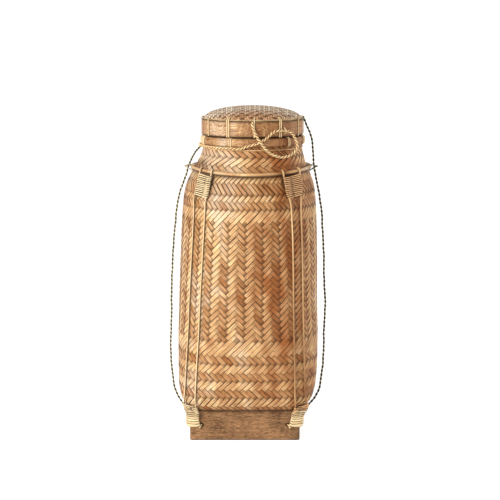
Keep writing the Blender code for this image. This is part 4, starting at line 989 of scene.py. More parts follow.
def make_collar():
    bottom, top, edge = WALL_TOP - COLLAR_DEPTH, WALL_TOP + COLLAR_STANDOUT, 0.0004
    inner = COLLAR_RADIUS - COLLAR_WALL
    section = [(COLLAR_RADIUS, z) for z in (bottom, WALL_TOP + 0.001, WALL_TOP + 0.004, top - edge)]
    section += [(COLLAR_RADIUS - edge, top), (inner + edge, top)]
    section += [(inner, z) for z in (top - edge, top - 0.006, WALL_TOP, bottom)]
    # Painted shade low on the collar's outside and down its inside, where it goes into the neck.
    dirt = np.array([[1.0, 0.8, 0.1, 0.0, 0.0, 0.0, 0.1, 0.25, 0.5, 0.8]])
    turned("neck_collar_bamboo", section, band_mat, "basket", "bamboo_band", "neck_collar", seed=21,
           sides=360, tone=0.42, flat=(8, 9), dirt=lambda turn: dirt)


def make_binding():
    inner, outer = BINDING_INNER_RADIUS, BINDING_INNER_RADIUS + BINDING_THICKNESS
    top = HOOP_BOTTOM - BINDING_BELOW_HOOP
    low = top - BINDING_WIDTH
    section = ((outer, low + 0.0003), (outer, top - 0.0003), (outer - 0.0006, top), (inner, top),
               (inner, low))
    turned("neck_binding_cane", section, rod_mat, "basket", "cane_rod", "neck_binding_strip", seed=6)


def make_neck_ties():
    """Ties over the hoop; those at its left and right ends are long bindings in the photo."""
    step = STITCH_STANDOFF
    profile = [(HOOP_INNER_RADIUS, HOOP_TOP + step)] + hoop_half(step, 11)
    profile.append((HOOP_INNER_RADIUS + step, HOOP_BOTTOM - step))
    for number, angle in enumerate(NECK_LASHING_ANGLES, start=1):
        hook("neck_tie_%d" % number, profile, angle, "basket", "neck_lashing_%d" % number,
             LONG_NECK_TIES.get(angle, PLAIN_NECK_TIE), NECK_STRAND_WIDTH)


def hook(name, profile, angle, body, replaces, offsets, width, spread=0.0):
    """Cane strands bent along a profile of (radius, height) points, side by side."""
    radius, _, height = smooth_path([(r, 0.0, z) for r, z in profile], step=0.0006).T
    share = np.linspace(-0.5, 0.5, len(radius))
    pile = Pile()
    for offset in offsets:
        turn = math.radians(angle) + offset * (1 + spread * share) * 0.001 / radius.max()
        side = np.stack([np.cos(turn), np.sin(turn), 0 * turn], axis=1)
        path = about_neck(radius, turn, height)
        outward = np.cross(np.gradient(path, axis=0), side)
        add_flat(pile, path, outward, width, STITCH_THICKNESS * 1.1, rng.normal(0.66, 0.1), dirt=0.05)
    pile.build(name, lashing_mat, body, "cane_lashing", replaces)


# Ring, stays and lashings
def ring_centre(angle):
    return on_body(angle, float(ring_height(angle)), RING_RADIUS + GAP)


def make_ring():
    sides = 14
    angles = full_turn(260)
    joints = sum(near(angles, at, 0.012) for at in (-0.62, 0.86, 2.4, 4.1))
    radius = RING_RADIUS * (0.955 + 0.045 * joints + 0.02 * wavy(angles * 9, 3))
    # Painted shade on the ring's underside.
    under = 0.85 * smooth_step(-np.sin(full_turn(sides)) * 1.3 + 0.3)
    # Paler on the left front and on the right, in part a painted highlight.
    pale_and_highlight = 0.9 * near(angles, -0.78, 0.42) + 0.9 * near(angles, 1.1, 0.3)
    path = as_points(ring_centre(a) for a in angles)
    pile = Pile()
    add_tube(pile, path, radius, sides, 0.34 + 0.25 * wavy(angles * 4, 8), (0.0, 0.0, 1.0), closed=True,
             stain=np.clip(0.3 + 0.4 * wavy(angles * 5, 9) - pale_and_highlight, -0.8, 0.9),
             dirt=np.maximum(0.75 * joints[:, None], under))
    pile.build("shoulder_ring_cane", rod_mat, "basket", "cane_rod", "shoulder_ring")


def stay_angle(z, sx, sy, side):
    share = share_of_body(z)
    degrees = smooth_value(STAY_BISECTOR[sx], share) + side * smooth_value(STAY_HALF_SPREAD[sx], share)
    if sy > 0:
        degrees = 180 - degrees
    return float(sx * math.radians(degrees))


def stay_on_foot(z, sx, sy, side):
    """Centre of a stay on the foot's face, further from the corner the lower it is."""
    half = FOOT_WIDTH / 2
    share = (FOOT_HEIGHT - z) / (FOOT_HEIGHT - STAY_END_HEIGHT)
    from_corner = STAY_FROM_CORNER_TOP + (STAY_FROM_CORNER_END - STAY_FROM_CORNER_TOP) * share
    along, out = half - from_corner, half + STAY_STANDOFF
    if side < 0:
        return Vector((FOOT_X + sx * along, sy * out, z))
    return Vector((FOOT_X + sx * out, sy * along, z))


def stay_point(z, sx, sy, side):
    """Centre of a stay at a height, between the foot's underside and the ring."""
    level = max(z, BODY_BOTTOM)
    near_foot = 1 - smooth_step((level - FOOT_HEIGHT - STAY_EASE_ABOVE_FOOT) / STAY_EASE)
    near_ring = smooth_step((level - LASHING_BOTTOM + STAY_EASE_BELOW_LASHING) / STAY_EASE)
    free = STAY_RADIUS + GAP
    standoff = float(free + (STAY_STANDOFF - free) * max(near_foot, near_ring) + GAP * near_foot)
    resting = on_body(stay_angle(level, sx, sy, side), level, standoff)
    resting.z = z
    taut_from = RING_HEIGHT - STAY_TAUT_BELOW_RING
    if level >= taut_from:
        outside = ring_outside(stay_angle(RING_HEIGHT, sx, sy, side))
        start = on_body(stay_angle(taut_from, sx, sy, side), taut_from, standoff)
        taut = start.lerp(outside, (level - taut_from) / (outside.z - taut_from))
        taut.z = z
        centre = Vector((float(body_centre_x(level)), 0.0, z))
        return max(resting, taut, key=lambda p: (p - centre).length)
    if z >= BODY_BOTTOM:
        return resting
    share = float(smooth_step((z - BODY_BOTTOM + STAY_TURN_IN) / STAY_TURN_IN))
    return stay_on_foot(z, sx, sy, side).lerp(resting, share)


def ring_outside(angle):
    """Where a stay passes outside the shoulder ring."""
    return ring_centre(angle) + outwards(angle) * (RING_RADIUS + GAP + STAY_RADIUS)


def stay_route(sx, sy, side):
    """A stay from its hook over the ring down to its end on the foot."""
    angle = stay_angle(RING_HEIGHT, sx, sy, side)
    hook_radius = RING_RADIUS + GAP + STAY_RADIUS
    route = []
    for i in range(6):
        turn = math.radians(HOOK_START + HOOK_STEP * i)
        route.append(ring_centre(angle) + outwards(angle) * hook_radius * math.sin(turn)
                     + Vector((0, 0, hook_radius * math.cos(turn))))
    route += [stay_point(RING_HEIGHT - drop, sx, sy, side) for drop in STAY_DROPS]
    for rise in STAY_RISES:
        around = [stay_point(BODY_BOTTOM + rise + step, sx, sy, side)
                  for step in (-STAY_SMOOTHING, 0.0, STAY_SMOOTHING)]
        route.append((around[0] + around[1] + around[2]) / 3)
    route.append(stay_point(STAY_END_HEIGHT, sx, sy, side))
    return route


def stay_shade_and_dirt(level, along, seed):
    """Painted shade on a stay's side towards the wall, a painted shadow down its right flank as seen from
    outside, painted shade under its lashings, and a little dirt all over.
    """
    turn = full_turn(10)
    hidden = np.maximum(0.9 * smooth_step((-np.sin(turn) - 0.2) / 0.4),
                        0.85 * smooth_step((-np.cos(turn) - 0.5) / 0.35))
    lashed = (smooth_step((RING_HEIGHT - 0.004 - level) / 0.002)
              * smooth_step((level - LASHING_BOTTOM) / 0.002))
    bound = np.maximum(0.85 * lashed, 0.8 * smooth_step((FOOT_HEIGHT + 0.011 - level) / 0.003))
    return np.maximum(hidden, (bound + 0.06 + 0.06 * wavy(along, seed, 0.03))[:, None])


def make_stays():
    """Makes the stays and gives each corner's two routes, for the lashings."""
    routes = {}
    for corner, (sx, sy) in CORNERS.items():
        routes[corner] = []
        for letter, side in (("a", -1), ("b", 1)):
            routes[corner].append(stay_route(sx, sy, side))
            path = smooth_path(routes[corner][-1], step=0.0015)
            seed = len(routes) * 2 + side
            along, level = lengths_along(path), path[:, 2]
            outward = np.stack([path[:, 0] - body_centre_x(level), path[:, 1], 0 * level], axis=1)
            lower = np.clip((0.33 - level) / 0.2, 0, 1)
            tone, stain = (0.76 - 0.26 * lower, 0.3 + 0.35 * lower) if sx > 0 else (0.9, -0.15)
            pile = Pile()
            add_tube(pile, path, STAY_RADIUS * (0.82 + 0.06 * wavy(along, seed, 0.02)), 10, normals=outward,
                     tone=tone + 0.14 * wavy(along, seed + 1, 0.05), dirt=stay_shade_and_dirt(level, along, seed + 2),
                     stain=stain + 0.2 * wavy(along, seed + 5, 0.04))
            pile.build("stay_cane_%s_%s" % (corner, letter), rod_mat, "basket", "cane_rod",
                       "stay_%s_%s" % (corner, letter))
    return routes


def route_at(route, z):
    """The place on a descending route at a height."""
    for before, after in zip(route, route[1:]):
        if before.z >= z > after.z:
            return before.lerp(after, (before.z - z) / (before.z - after.z))
    return route[-1]


def stay_frame(routes, index, z, sx, sy, at_foot):
    """A stay's centre with the directions square to it: off the wall, and away from the other stay."""
    route, other = routes[index], routes[1 - index]
    centre = route_at(route, z)
    if at_foot:
        outward = Vector((sx, 0.0, 0.0)) if index else Vector((0.0, sy, 0.0))
    else:
        outward = Vector((centre.x - float(body_centre_x(z)), centre.y, 0.0)).normalized()
    below = route_at(route, max(z - STAY_SPAN, STAY_END_HEIGHT))
    tangent = (below - route_at(route, z + STAY_SPAN)).normalized()
    outward = (outward - tangent * outward.dot(tangent)).normalized()
    away = tangent.cross(outward)
    if away.dot(centre - route_at(other, z)) < 0:
        away = -away
    return centre, outward, away


def foot_winding(routes, sx, sy):
    """Unbroken winding round a pair of stays at the foot's corner, from the top down into the corner hole."""
    path, outward = [], []
    room = (STAY_RADIUS + GAP * 0.75 + LASHING_THICKNESS / 2) / math.cos(math.radians(30))
    top = FOOT_HEIGHT + FOOT_LASHING_ABOVE_FOOT
    pitch = (top - FOOT_LASHING_BOTTOM) / FOOT_LASHING_TURNS
    # The stay and the direction off it at each point of a turn, or None for a corner between the stays
    slots = ([(0, 0), None] + [(1, turn) for turn in (0, 60, 120, 180)] + [None]
             + [(0, turn) for turn in (180, 120, 60)])
    for number in range(FOOT_LASHING_TURNS * WINDING_SLOTS + 1):
        slot = number % WINDING_SLOTS
        z = top - pitch * number / WINDING_SLOTS
        frames = [stay_frame(routes, index, z, sx, sy, True) for index in (0, 1)]
        if slots[slot] is None:
            point, face = winding_corner(*frames, room, slot > 1)
        else:
            index, turn = slots[slot]
            centre, normal, away = frames[index]
            face = normal * math.cos(math.radians(turn)) + away * math.sin(math.radians(turn))
            point = centre + face * room
        path.append(point)
        outward.append(face)
    half = FOOT_WIDTH / 2
    mouth = Vector((FOOT_X + sx * (half - CORNER_HOLE_FROM_CORNER), sy * half, CORNER_HOLE_HEIGHT))
    inward = Vector((sx, -sy, 0.0)).normalized()
    across = Vector((sx, sy, 0.0)).normalized()
    swing = mouth + Vector((0.0, sy * 0.0012, 0.001))
    path += [path[-1].lerp(swing, 0.5), swing, mouth + inward * 0.0012, mouth + inward * 0.005]
    outward += [Vector((0.0, sy, 0.0)), -inward, -across, -across]
    return path, outward


def winding_corner(frame_a, frame_b, room, under):
    """Point between the two stays at the foot: under them along the wall, or over them."""
    low, high = ((frame_a[0] + frame_a[1] * off + frame_b[0] + frame_b[1] * off) / 2 for off in (-room, room))
    level = max(low.z, BODY_BOTTOM)
    centre = Vector((float(body_centre_x(level)), 0.0, low.z))
    clear = GAP * 1.5 + LASHING_THICKNESS / 2 + CORNER_BULGE
    wall = on_body(math.atan2(low.x - centre.x, -low.y), level, clear)
    knee = Vector(((frame_b[0] - frame_b[1] * room).x - centre.x, (frame_a[0] - frame_a[1] * room).y, 0.0))
    reach = max([knee.length] + [Vector((p.x - centre.x, p.y)).length for p in (wall, low)])
    face = (frame_a[1] + frame_b[1]).normalized()
    if under:
        return centre + knee.normalized() * reach, -face
    over = max(Vector((high.x - centre.x, high.y)).length, reach + LASHING_THICKNESS + 2 * GAP)
    place = centre + knee.normalized() * over
    place.z = high.z
    return place, face


def figure_eight(pile, routes, sx, sy, top, pitch, rows, width, at_foot, tone):
    """Strand wound over and under a pair of stays in a figure of eight."""
    steps, slant = 28, 0.6
    theta = 2 * math.pi * np.arange(rows * steps + 1) / steps
    sway = 0.0005 * wavy(theta, 77 + sx, 1.1)
    reach = STAY_RADIUS + 0.0005
    bulge = 0.0022 if at_foot else 0.0003
    path, normals = [], []
    for t, swayed in zip(theta.tolist(), sway.tolist()):
        across = math.cos(t)
        step = min(max(across * 1.5, -1.0), 1.0)
        z = top - pitch * t / (2 * math.pi) - slant * pitch * (1 - step) / 2 + swayed
        centre_a, out_a = stay_frame(routes, 0, z, sx, sy, at_foot)[:2]
        centre_b, out_b = stay_frame(routes, 1, z, sx, sy, at_foot)[:2]
        middle, half = (centre_a + centre_b) / 2, (centre_b - centre_a) / 2
        out = (out_a * (1 - across) + out_b * (1 + across)).normalized()
        stretch = 1 + reach / half.length
        high = reach * 1.05 * math.sin(2 * t) + bulge * (1 - across * across)
        path.append(middle + half * across * stretch + out * high)
        along = out * 2 * reach * math.cos(2 * t) - half * math.sin(t) * stretch
        normals.append(half.cross(out).cross(along).normalized())
    across = np.cos(theta)
    # Past here a strand is behind the others, where painted shade darkens it
    leaving = np.where(np.sin(theta) >= 0, -across - 0.5, across + 0.42)
    add_flat(pile, path, normals, width * (1 + 0.25 * wavy(theta, 79 + sx, 1.7)), 0.0007,
             tone + 0.2 * wavy(theta, 71 + sx, 2.0), dirt=0.03 + 0.85 * smooth_step(leaving / 0.3 + 0.5),
             stain=0.55 if sx > 0 else -0.1)


def add_winding(pile, path, outward, widths):
    fine = smooth_path(path, step=0.0008)
    marks, fine_marks = lengths_along(as_points(path)), lengths_along(fine)
    marks = marks * fine_marks[-1] / marks[-1]
    faces = as_points(outward)
    normals = np.stack([np.interp(fine_marks, marks, faces[:, k]) for k in range(3)], axis=1)
    add_flat(pile, fine, normals, np.interp(fine_marks, marks, widths), LASHING_THICKNESS,
             0.72 + 0.2 * wavy(fine_marks, 31, 0.02), dirt=0.05)


def make_lashings(routes):
    """At each corner a figure of eight under the ring, and a winding with a figure of eight at the foot."""
    for corner, (sx, sy) in CORNERS.items():
        top, foot = Pile(), Pile()
        figure_eight(top, routes[corner], sx, sy, top=RING_HEIGHT - 0.0040, pitch=0.00262, rows=12,
                     width=0.00135, at_foot=False, tone=0.85 if sx < 0 else 0.8)
        path, outward = foot_winding(routes[corner], sx, sy)
        widths = np.interp(np.arange(len(path)), (0, 22, 30, 66, 71, 80),
                           (0.0018, 0.0018, 0.0032, 0.0032, 0.0016, 0.0014))
        add_winding(foot, path, outward, widths)
        figure_eight(foot, routes[corner], sx, sy, top=FOOT_HEIGHT + 0.0118, pitch=0.0023, rows=5,
                     width=0.0017, at_foot=True, tone=0.8)
        for pile, place in ((top, "stay_lashing_"), (foot, "foot_lashing_")):
            pile.build(place + "cane_" + corner, lashing_mat, "basket", "cane_lashing", place + corner)


def make_eyelets():
    """A loop of twisted cane on each side of the ring: two legs over the rod and the loop between them."""
    up = Vector((0.0, 0.0, 1.0))
    wrap = RING_RADIUS + GAP + 0.001
    # Shares of the reach and of the rod's height, and of half the width, for each point of the loop
    loop = ((0.47, 0.62, -0.8), (0.7, 0.35, -1.0), (0.9, 0.1, -0.75), (1.0, -0.08, 0.0), (0.9, -0.22, 0.75),
            (0.7, -0.35, 1.0), (0.47, -0.62, 0.8))
    for name, angle, material, dirt in (("eyelet_left", -math.radians(EYELET_ANGLE), lashing_mat, 0.2),
                                        ("eyelet_right", math.radians(EYELET_ANGLE), olive_cord_mat, 0.4)):
        centre, out = ring_centre(angle), outwards(angle)
        along = Vector((math.cos(angle), math.sin(angle), 0.0))

        def on_rod(degrees, side):
            turn = math.radians(degrees)
            return centre + (out * math.cos(turn) + up * math.sin(turn)) * wrap + side

        leg = along * EYELET_LEG_SPREAD
        route = [on_rod(degrees, -leg) for degrees in (135, 105, 75)]
        route += [centre + out * EYELET_REACH * reach + up * (wrap * rise + 0.003 * reach)
                  + along * EYELET_HALF_WIDTH * wide for reach, rise, wide in loop]
        route += [on_rod(degrees, leg) for degrees in (-50, -80)]
        pile = Pile()
        add_twist(pile, smooth_path(route, step=0.0005), diameter=0.0023, pitch=0.008, tone=0.9, dirt=dirt,
                  stain=-0.8)
        pile.build(name + "_cane", material, "basket", "eyelet_cane", name)


def add_twist(pile, path, diameter, pitch, tone, dirt=0.0, swell=1.0, stain=0.0, twist_shade=0.0):
    """Two plies laid round each other along a path; swell is how loosely, and the last argument how dark the
    painted shade is in bands twice in each twist.
    """
    side, out = path_frames(path)
    along = lengths_along(path)
    phase = 2 * math.pi * along / pitch
    ply_radius, offset = diameter * 0.285 * swell, diameter * 0.25 * swell
    cos, sin = np.cos(full_turn(8)), np.sin(full_turn(8))
    # Painted shade in bands, where the plies lie side by side.
    dark = twist_shade * (0.5 + 0.5 * np.cos(2 * phase)) * (0.75 + 0.25 * wavy(along, 95, 0.011))
    for ply in (0, 1):
        angle = (phase + math.pi * ply)[:, None]
        off = side * np.cos(angle) + out * np.sin(angle)
        centre = path + off * offset
        tangents = np.gradient(centre, axis=0)
        tangents /= np.linalg.norm(tangents, axis=1, keepdims=True)
        across = np.cross(tangents, off)
        across /= np.linalg.norm(across, axis=1, keepdims=True)
        rings = sections(centre, across, np.cross(across, tangents), ply_radius * 1.04 * cos[None],
                         ply_radius * sin[None])
        away = np.linalg.norm(rings - path[:, None], axis=2)
        depth = np.clip((away / swell - diameter * 0.30) / (diameter * 0.235), -1, 1)
        pile.add(rings, along + ply * 0.37, tone, across=cos, depth=depth, stain=stain, dirt=dirt + dark)


# Lid
def dome_profile():
    """Length from the apex, radius and height of the dome's outside."""
    turn = np.linspace(0, math.pi / 2, 400)
    outside = np.stack([SKIRT_RADIUS * np.sin(turn), BAND_TOP + DOME_RISE * np.cos(turn)], axis=1)
    return lengths_along(outside), outside[:, 0], outside[:, 1]


dome_along, dome_radius, dome_height = dome_profile()


def at_dome(away):
    """Radius and height at a length from the apex."""
    return np.interp(away, dome_along, dome_radius), np.interp(away, dome_along, dome_height)


def on_dome(u, v, lift):
    """Places over plan coordinates whose distance from the apex is measured along the dome."""
    away = np.hypot(u, v)
    (r, z), before, after = (at_dome(away + step) for step in (0.0, -0.0005, 0.0005))
    slope_r, slope_z = after[0] - before[0], after[1] - before[1]
    size = np.maximum(np.hypot(slope_r, slope_z), 1e-9)
    out_r, out_z = -slope_z / size, np.maximum(slope_r / size, 0.05)
    return about_neck(r + out_r * lift, np.arctan2(u, -v), z + out_z * lift)


def make_dome_weave():
    """Twill of square strips, two over and two under, in both directions."""
    reach = dome_along[-1] - DOME_WEAVE_EDGE
    pitch = reach * 2 / DOME_STRIPS
    for direction in (0, 1):
        pile = Pile()
        for i in range(DOME_STRIPS):
            at = (i - (DOME_STRIPS - 1) / 2) * pitch
            half = math.sqrt(max(reach * reach - at * at, 0.0))
            if half < 2 * pitch:
                continue
            crossings = np.arange(math.ceil(0.5 - half / pitch), math.floor(half / pitch - 0.5) + 1)
            other = crossings + (DOME_STRIPS - 1) // 2
            top = np.concatenate([[False], np.repeat(((i + other) % 4 < 2) == (direction == 0), 2), [False]])
            places = np.concatenate([[-half], in_pairs(crossings) * pitch, [half]])
            up = np.where(top, 1.0, -1.0)
            width = pitch * rng.uniform(0.8, 0.95)
            cross = at + rng.normal(0, 0.00008) + STRIP_ACROSS[None] * width / 2
            along, cross = np.broadcast_arrays(places[:, None], cross)
            lift = (-WEAVE_INSET + up * DOME_WEAVE_DEPTH)[:, None] + STRIP_HIGH * DOME_STRIP_THICKNESS
            points = on_dome(along, cross, lift) if direction == 0 else on_dome(cross, -along, lift)
            tone = rng.normal(0.5, 0.15) + np.where(top, rng.normal(0, 0.1, len(top)), 0.0)
            front = np.clip((-points[:, 2, 1] - 0.02) / 0.05, 0, 1)
            # Painted shade on the parts of a strip that lie under the other strips.
            pile.add(points, places + rng.uniform(0, 5), tone, depth=up, across=STRIP_ACROSS, flat=STRIP_FLAT,
                     stain=np.clip(-0.6 + 1.5 * front, -0.6, 0.75), dirt=np.where(top, 0.0, 0.45))
        pile.build("lid_weave_%d" % direction, dome_mat, "lid", "woven_bamboo", "lid_dome")


def make_lid_lining():
    """Dark shell under the dome's weave, from the skirt's edge up to the apex and back inside."""
    sides = 120
    radius, height = at_dome(np.linspace(0.985 * dome_along[-1], 0.0006, 30))
    outer = [(SKIRT_RADIUS, LID_SEAT), (SKIRT_RADIUS, BAND_TOP - 0.001)]
    outer += zip(radius * 0.985, height - LINING_INSET)
    inner = [(r - LID_SKIN if r > LID_SKIN else 0.0001, z - (0.0012 if n > 1 else 0.0))
             for n, (r, z) in enumerate(outer)]
    section = np.array(outer + inner[::-1])
    pile = Pile()
    rings = about_neck(section[:, None, 0], full_turn(sides), section[:, None, 1])
    pile.add(rings, lengths_along(section), 0.5, across=np.linspace(0, 60, sides), closed=True)
    pile.build("lid_lining", liner_mat, "lid", "woven_bamboo", "lid_dome")


def make_lid_band():
    edge = 0.0005
    rises = (0.0005, 0.0016, 0.003, 0.006, 0.0115, 0.017, 0.0195, 0.0212, 0.0225)
    section = [(BAND_RADIUS, LID_SEAT + rise) for rise in rises]
    section += [(BAND_RADIUS - edge, BAND_TOP), (BAND_INNER_RADIUS, BAND_TOP), (BAND_INNER_RADIUS, LID_SEAT),
                (BAND_RADIUS - edge, LID_SEAT)]
    # Painted shade under the rim, at the band's lower edge and on its inside.
    edge_shade = np.array([0.85, 0.4, 0.12, 0.0, 0.0, 0.0, 0.12, 0.5, 0.9, 1.0, 1.0, 1.0, 1.0])
    wide = [STITCH_ANGLES[k] for k in WIDE_STITCHES]

    def stain(turn):
        return (smoke(turn) + 0.55 * near(turn, -1.4, 0.2) - 0.5 * near(turn, -0.72, 0.2)
                + 0.25 * wavy(turn * 11, 19))

    # Painted shadow beside each stitch.
    def dirt(turn):
        narrow = [at for at in STITCH_ANGLES if at not in wide]
        stitches = np.maximum(shade_beside_ties(turn, narrow, half_width=1.0, amount=0.7),
                              shade_beside_ties(turn, wide, half_width=2.9, amount=0.7))
        return np.maximum(edge_shade, stitches[:, None])

    turned("lid_band_bamboo", section, band_mat, "lid", "bamboo_band", "lid_band", seed=12, sides=540,
           flat=(9, 10, 11), stain=stain, dirt=dirt)


def make_lid_inner_band():
    outer, top = LID_INNER_RADIUS + LID_INNER_BAND_WALL, LID_SEAT + LID_INNER_BAND_HEIGHT
    section = ((outer, LID_SEAT), (outer, top), (LID_INNER_RADIUS, top), (LID_INNER_RADIUS, LID_SEAT))
    turned("lid_inner_bamboo", section, band_mat, "lid", "bamboo_band", "lid_inner_band", seed=14,
           flat=range(4))


def make_lid_rim():
    """Strip on the band's top edge, pressed in under each stitch."""
    turn = full_turn(300)
    spacing = 360 / STITCH_COUNT
    from_stitch = (np.degrees(turn) - STITCH_START) % spacing
    dip = np.exp(-(np.minimum(from_stitch, spacing - from_stitch) / 2.2) ** 2)
    path = about_neck(RIM_LINE + 0.0004 * wavy(turn * 11, 41), turn,
                      BAND_TOP + GAP + RIM_RADIUS + 0.0003 * wavy(turn * 9, 43) - 0.0002 * dip)
    pile = Pile()
    add_tube(pile, path, RIM_RADIUS * (0.9 - 0.12 * dip), 10, 0.5 + 0.3 * wavy(turn * 16, 44), closed=True,
             normals=(0.0, 0.0, 1.0))
    pile.build("lid_rim_cane", lashing_mat, "lid", "cane_rod", "lid_rim_strip")


def stitch_profile():
    """From the dome over the rim strip, down the band's face and under its lower edge."""
    step, start = STITCH_STANDOFF, SKIRT_RADIUS - STITCH_ON_DOME
    share = start / SKIRT_RADIUS
    points = [(start, BAND_HEIGHT + DOME_RISE * math.sqrt(1 - share * share) + 2 * step)]
    for degrees in (-20, 25, 70, 110):
        turn = math.radians(degrees)
        points.append((RIM_LINE + (RIM_RADIUS + step) * math.sin(turn),
                       BAND_HEIGHT + GAP + RIM_RADIUS + (RIM_RADIUS + step) * math.cos(turn)))
    outer = BAND_RADIUS + step
    points += [(outer, BAND_HEIGHT * 0.85), (outer, BAND_HEIGHT * 0.12),
               (outer - STITCH_ROUNDING, -step * 0.6), (outer - STITCH_TURN_UNDER, -step),
               (LID_INNER_RADIUS + STITCH_THICKNESS, -step)]
    return [(r, z + LID_SEAT) for r, z in points]


def make_stitches():
    for k, angle in enumerate(STITCH_ANGLES):
        hook("lid_stitch_cane_%02d" % (k + 1), stitch_profile(), angle, "lid", "lid_stitch_%02d" % (k + 1),
             **(WIDE_STITCH if k in WIDE_STITCHES else NARROW_STITCH))


def make_rim_knot():
    low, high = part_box("rim_knot")
    centre = np.array((low + high) / 2)
    turn = np.linspace(0, 4.4 * math.pi, 90)
    radius = 0.0014
    path = centre + np.stack([radius * np.sin(turn) * (0.8 + 0.2 * np.cos(turn * 0.31)),
                              radius * np.cos(turn * 0.93), 0.0011 * np.sin(turn * 0.47 + 0.6)], axis=1)
    pile = Pile()
    add_flat(pile, path, path - centre, width=0.0012, thickness=0.0011, tone=0.9, stain=-0.8)
    pile.build("rim_knot_cane", lashing_mat, "lid", "cane_lashing", "rim_knot")


def make_loop_tie():
    reach = LIGHT_CORD / 2 + STITCH_STANDOFF
    seat, cord = BAND_RADIUS + STITCH_STANDOFF, BAND_RADIUS + LOOP_TIE_CORD_STANDOFF
    height = LID_SEAT + LOOP_TIE_ABOVE_SEAT
    profile = [(seat, height + LOOP_TIE_HALF_LENGTH)]
    for degrees in (70, 35, 0, -35, -70):
        turn = math.radians(degrees)
        profile.append((cord + reach * math.cos(turn), height + reach * math.sin(turn)))
    profile.append((seat, height - LOOP_TIE_HALF_LENGTH))
    hook("loop_tie_cane", profile, LOOP_TIE_ANGLE, "lid", "loop_tie", **LOOP_TIE)


# Cords
def make_cord(name, route, diameter, material, slot, carried_by, swell=1.0, twist_shade=0.0):
    """Cord of two plies. carried_by is its body; given instead as which points of its route are on basket and
    lid, those points are not used and the cord is left unattached.
    """
    path = smooth_path(smooth_path(route, step=CORD_STEP), step=diameter * 0.2)
    if swell != 1.0:
        along = lengths_along(path)
        ease = np.clip(np.minimum(along, along[-1] - along) / 0.02, 0, 1)
        path = path + path_frames(path)[0] * (CORD_WANDER * ease * wavy(along, 93, 0.012))[:, None]
    pile = Pile()
    pitch = diameter * (TIGHT_LAY if swell == 1.0 else LOOSE_LAY)
    add_twist(pile, path, diameter, pitch, 0.5, swell=swell, twist_shade=twist_shade)
    obj = pile.build(name + "_twist", material, None, slot, name)
    if isinstance(carried_by, str):
        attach(obj, carried_by)
    else:
        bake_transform(obj)
    keep = path[::max(1, len(path) // 36)]
    if np.linalg.norm(keep[-1] - path[-1]) > 1e-6:
        keep = np.concatenate([keep, path[-1:]])


def neck_cord_route():
    turn = np.radians(np.linspace(NECK_CORD_START, NECK_CORD_LEAVES, NECK_CORD_STEPS + 1))
    return about_neck(NECK_CORD_RADIUS, turn, NECK_CORD_HEIGHT).tolist() + list(NECK_CORD_RISE)


def make_cords():
    for name, route, material, length, carried_by, swell, twist_shade in (
            ("carry_cord_left", CARRY_CORD_LEFT, olive_cord_mat, 0.414, "basket", 1.34, 0.35),
            ("carry_cord_right", CARRY_CORD_RIGHT, dark_cord_mat, 0.364, "basket", 1.42, 0.85),
            ("lid_tether_right", LID_TETHER_RIGHT, dark_cord_mat, 0.077, (-1, 0), 1.38, 0.8)):
        make_cord(name, route, DARK_CORD, material, "dark_cord", carried_by, swell=swell, twist_shade=twist_shade)
    for name, route, length, carried_by, lay in (
            ("neck_cord", neck_cord_route(), 0.273, "basket", "taut"),
            ("lid_tether_front", LID_TETHER_FRONT, 0.034, (0, -1), "hanging"),
            ("lid_loop", LID_LOOP, 0.158, "lid", "loose")):
        make_cord(name, route, LIGHT_CORD, light_cord_mat, "light_cord", carried_by)


def make_foot():
    """The block's solid is shown as it is, in wood."""
    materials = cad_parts["foot_block"].data.materials
    materials.clear()
    materials.append(wood_material())


make_cords()
make_weave()
make_body_lining()
make_hoop()
make_collar()
make_binding()
make_neck_ties()
make_ring()
make_lashings(make_stays())
make_eyelets()
make_dome_weave()
make_lid_lining()
make_lid_band()
make_lid_inner_band()
make_lid_rim()
make_stitches()
make_rim_knot()
make_loop_tie()
make_foot()

# Camera, light and floor
SENSOR_WIDTH = 36.0  # mm
FOCAL_LENGTH = 1288  # in pixels of the photo
PHOTO_WIDTH = 500
CAMERA_PLACE = (0.003, -1.950, 0.614)
CAMERA_TILT = 9.80  # degrees down
FLOOR_HALF_WIDTH = 7
FLOOR_SWEEP = ((-6.0, 0.0), (2.6, 0.0), (2.9, 0.08), (3.12, 0.3), (3.2, 0.6), (3.2, 4.5))  # (y, z)
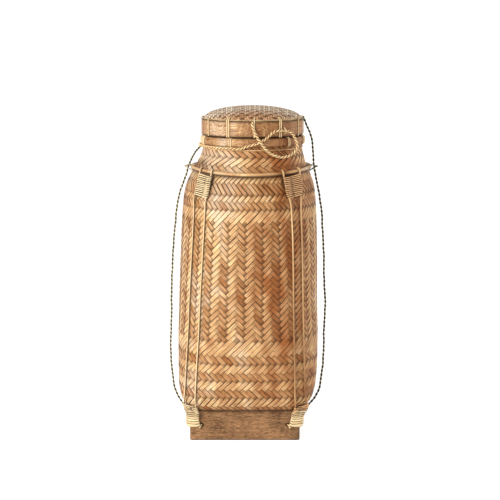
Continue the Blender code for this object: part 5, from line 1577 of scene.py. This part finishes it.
# Name, place, size, power and colour of each lamp
LAMPS = (("key", (-1.4, -1.75, 1.15), 0.9, 55.0, (1.0, 0.985, 0.96)),
         ("rim", (2.3, 0.5, 0.9), 1.4, 24.0, (1.0, 0.9, 0.76)))


def make_camera(scene):
    data = bpy.data.cameras.new("camera")
    data.sensor_width = SENSOR_WIDTH
    data.lens = SENSOR_WIDTH * FOCAL_LENGTH / PHOTO_WIDTH
    data.clip_start = 0.05
    camera = bpy.data.objects.new("camera", data)
    camera.location = CAMERA_PLACE
    camera.rotation_euler = (math.radians(90 - CAMERA_TILT), 0.0, 0.0)
    scene.collection.objects.link(camera)
    scene.camera = camera


def make_floor(scene):
    """White sweep that glows a little, so that it turns to the photo's white."""
    mesh = bpy.data.meshes.new("floor")
    mesh.from_pydata([(x, y, z) for y, z in FLOOR_SWEEP for x in (-FLOOR_HALF_WIDTH, FLOOR_HALF_WIDTH)], [],
                     [(2 * i, 2 * i + 1, 2 * i + 3, 2 * i + 2) for i in range(len(FLOOR_SWEEP) - 1)])
    mesh.shade_smooth()
    floor = bpy.data.objects.new("floor", mesh)
    scene.collection.objects.link(floor)
    n = Nodes("floor")
    for key, value in (("Base Color", (0.5, 0.5, 0.5, 1.0)), ("Roughness", 0.9), ("Specular IOR Level", 0.0),
                       ("Emission Color", (1.0, 1.0, 1.0, 1.0)), ("Emission Strength", 0.78)):
        n.shader.inputs[key].default_value = value
    mesh.materials.append(n.material)


def make_lights(scene):
    world = bpy.data.worlds.new("studio")
    world.use_nodes = True
    background = world.node_tree.nodes["Background"].inputs
    background[0].default_value = (1.0, 1.0, 1.0, 1.0)
    background[1].default_value = 0.5
    scene.world = world
    scene.view_settings.view_transform = "Standard"
    for name, place, size, power, colour in LAMPS:
        light = bpy.data.lights.new(name, "AREA")
        light.shape, light.size, light.energy, light.color = "SQUARE", size, power, colour
        lamp = bpy.data.objects.new(name, light)
        lamp.location = place
        lamp.rotation_euler = (Vector((0, 0, 0.25)) - Vector(place)).to_track_quat("-Z", "Y").to_euler()
        scene.collection.objects.link(lamp)


make_camera(bpy.context.scene)
make_floor(bpy.context.scene)
make_lights(bpy.context.scene)
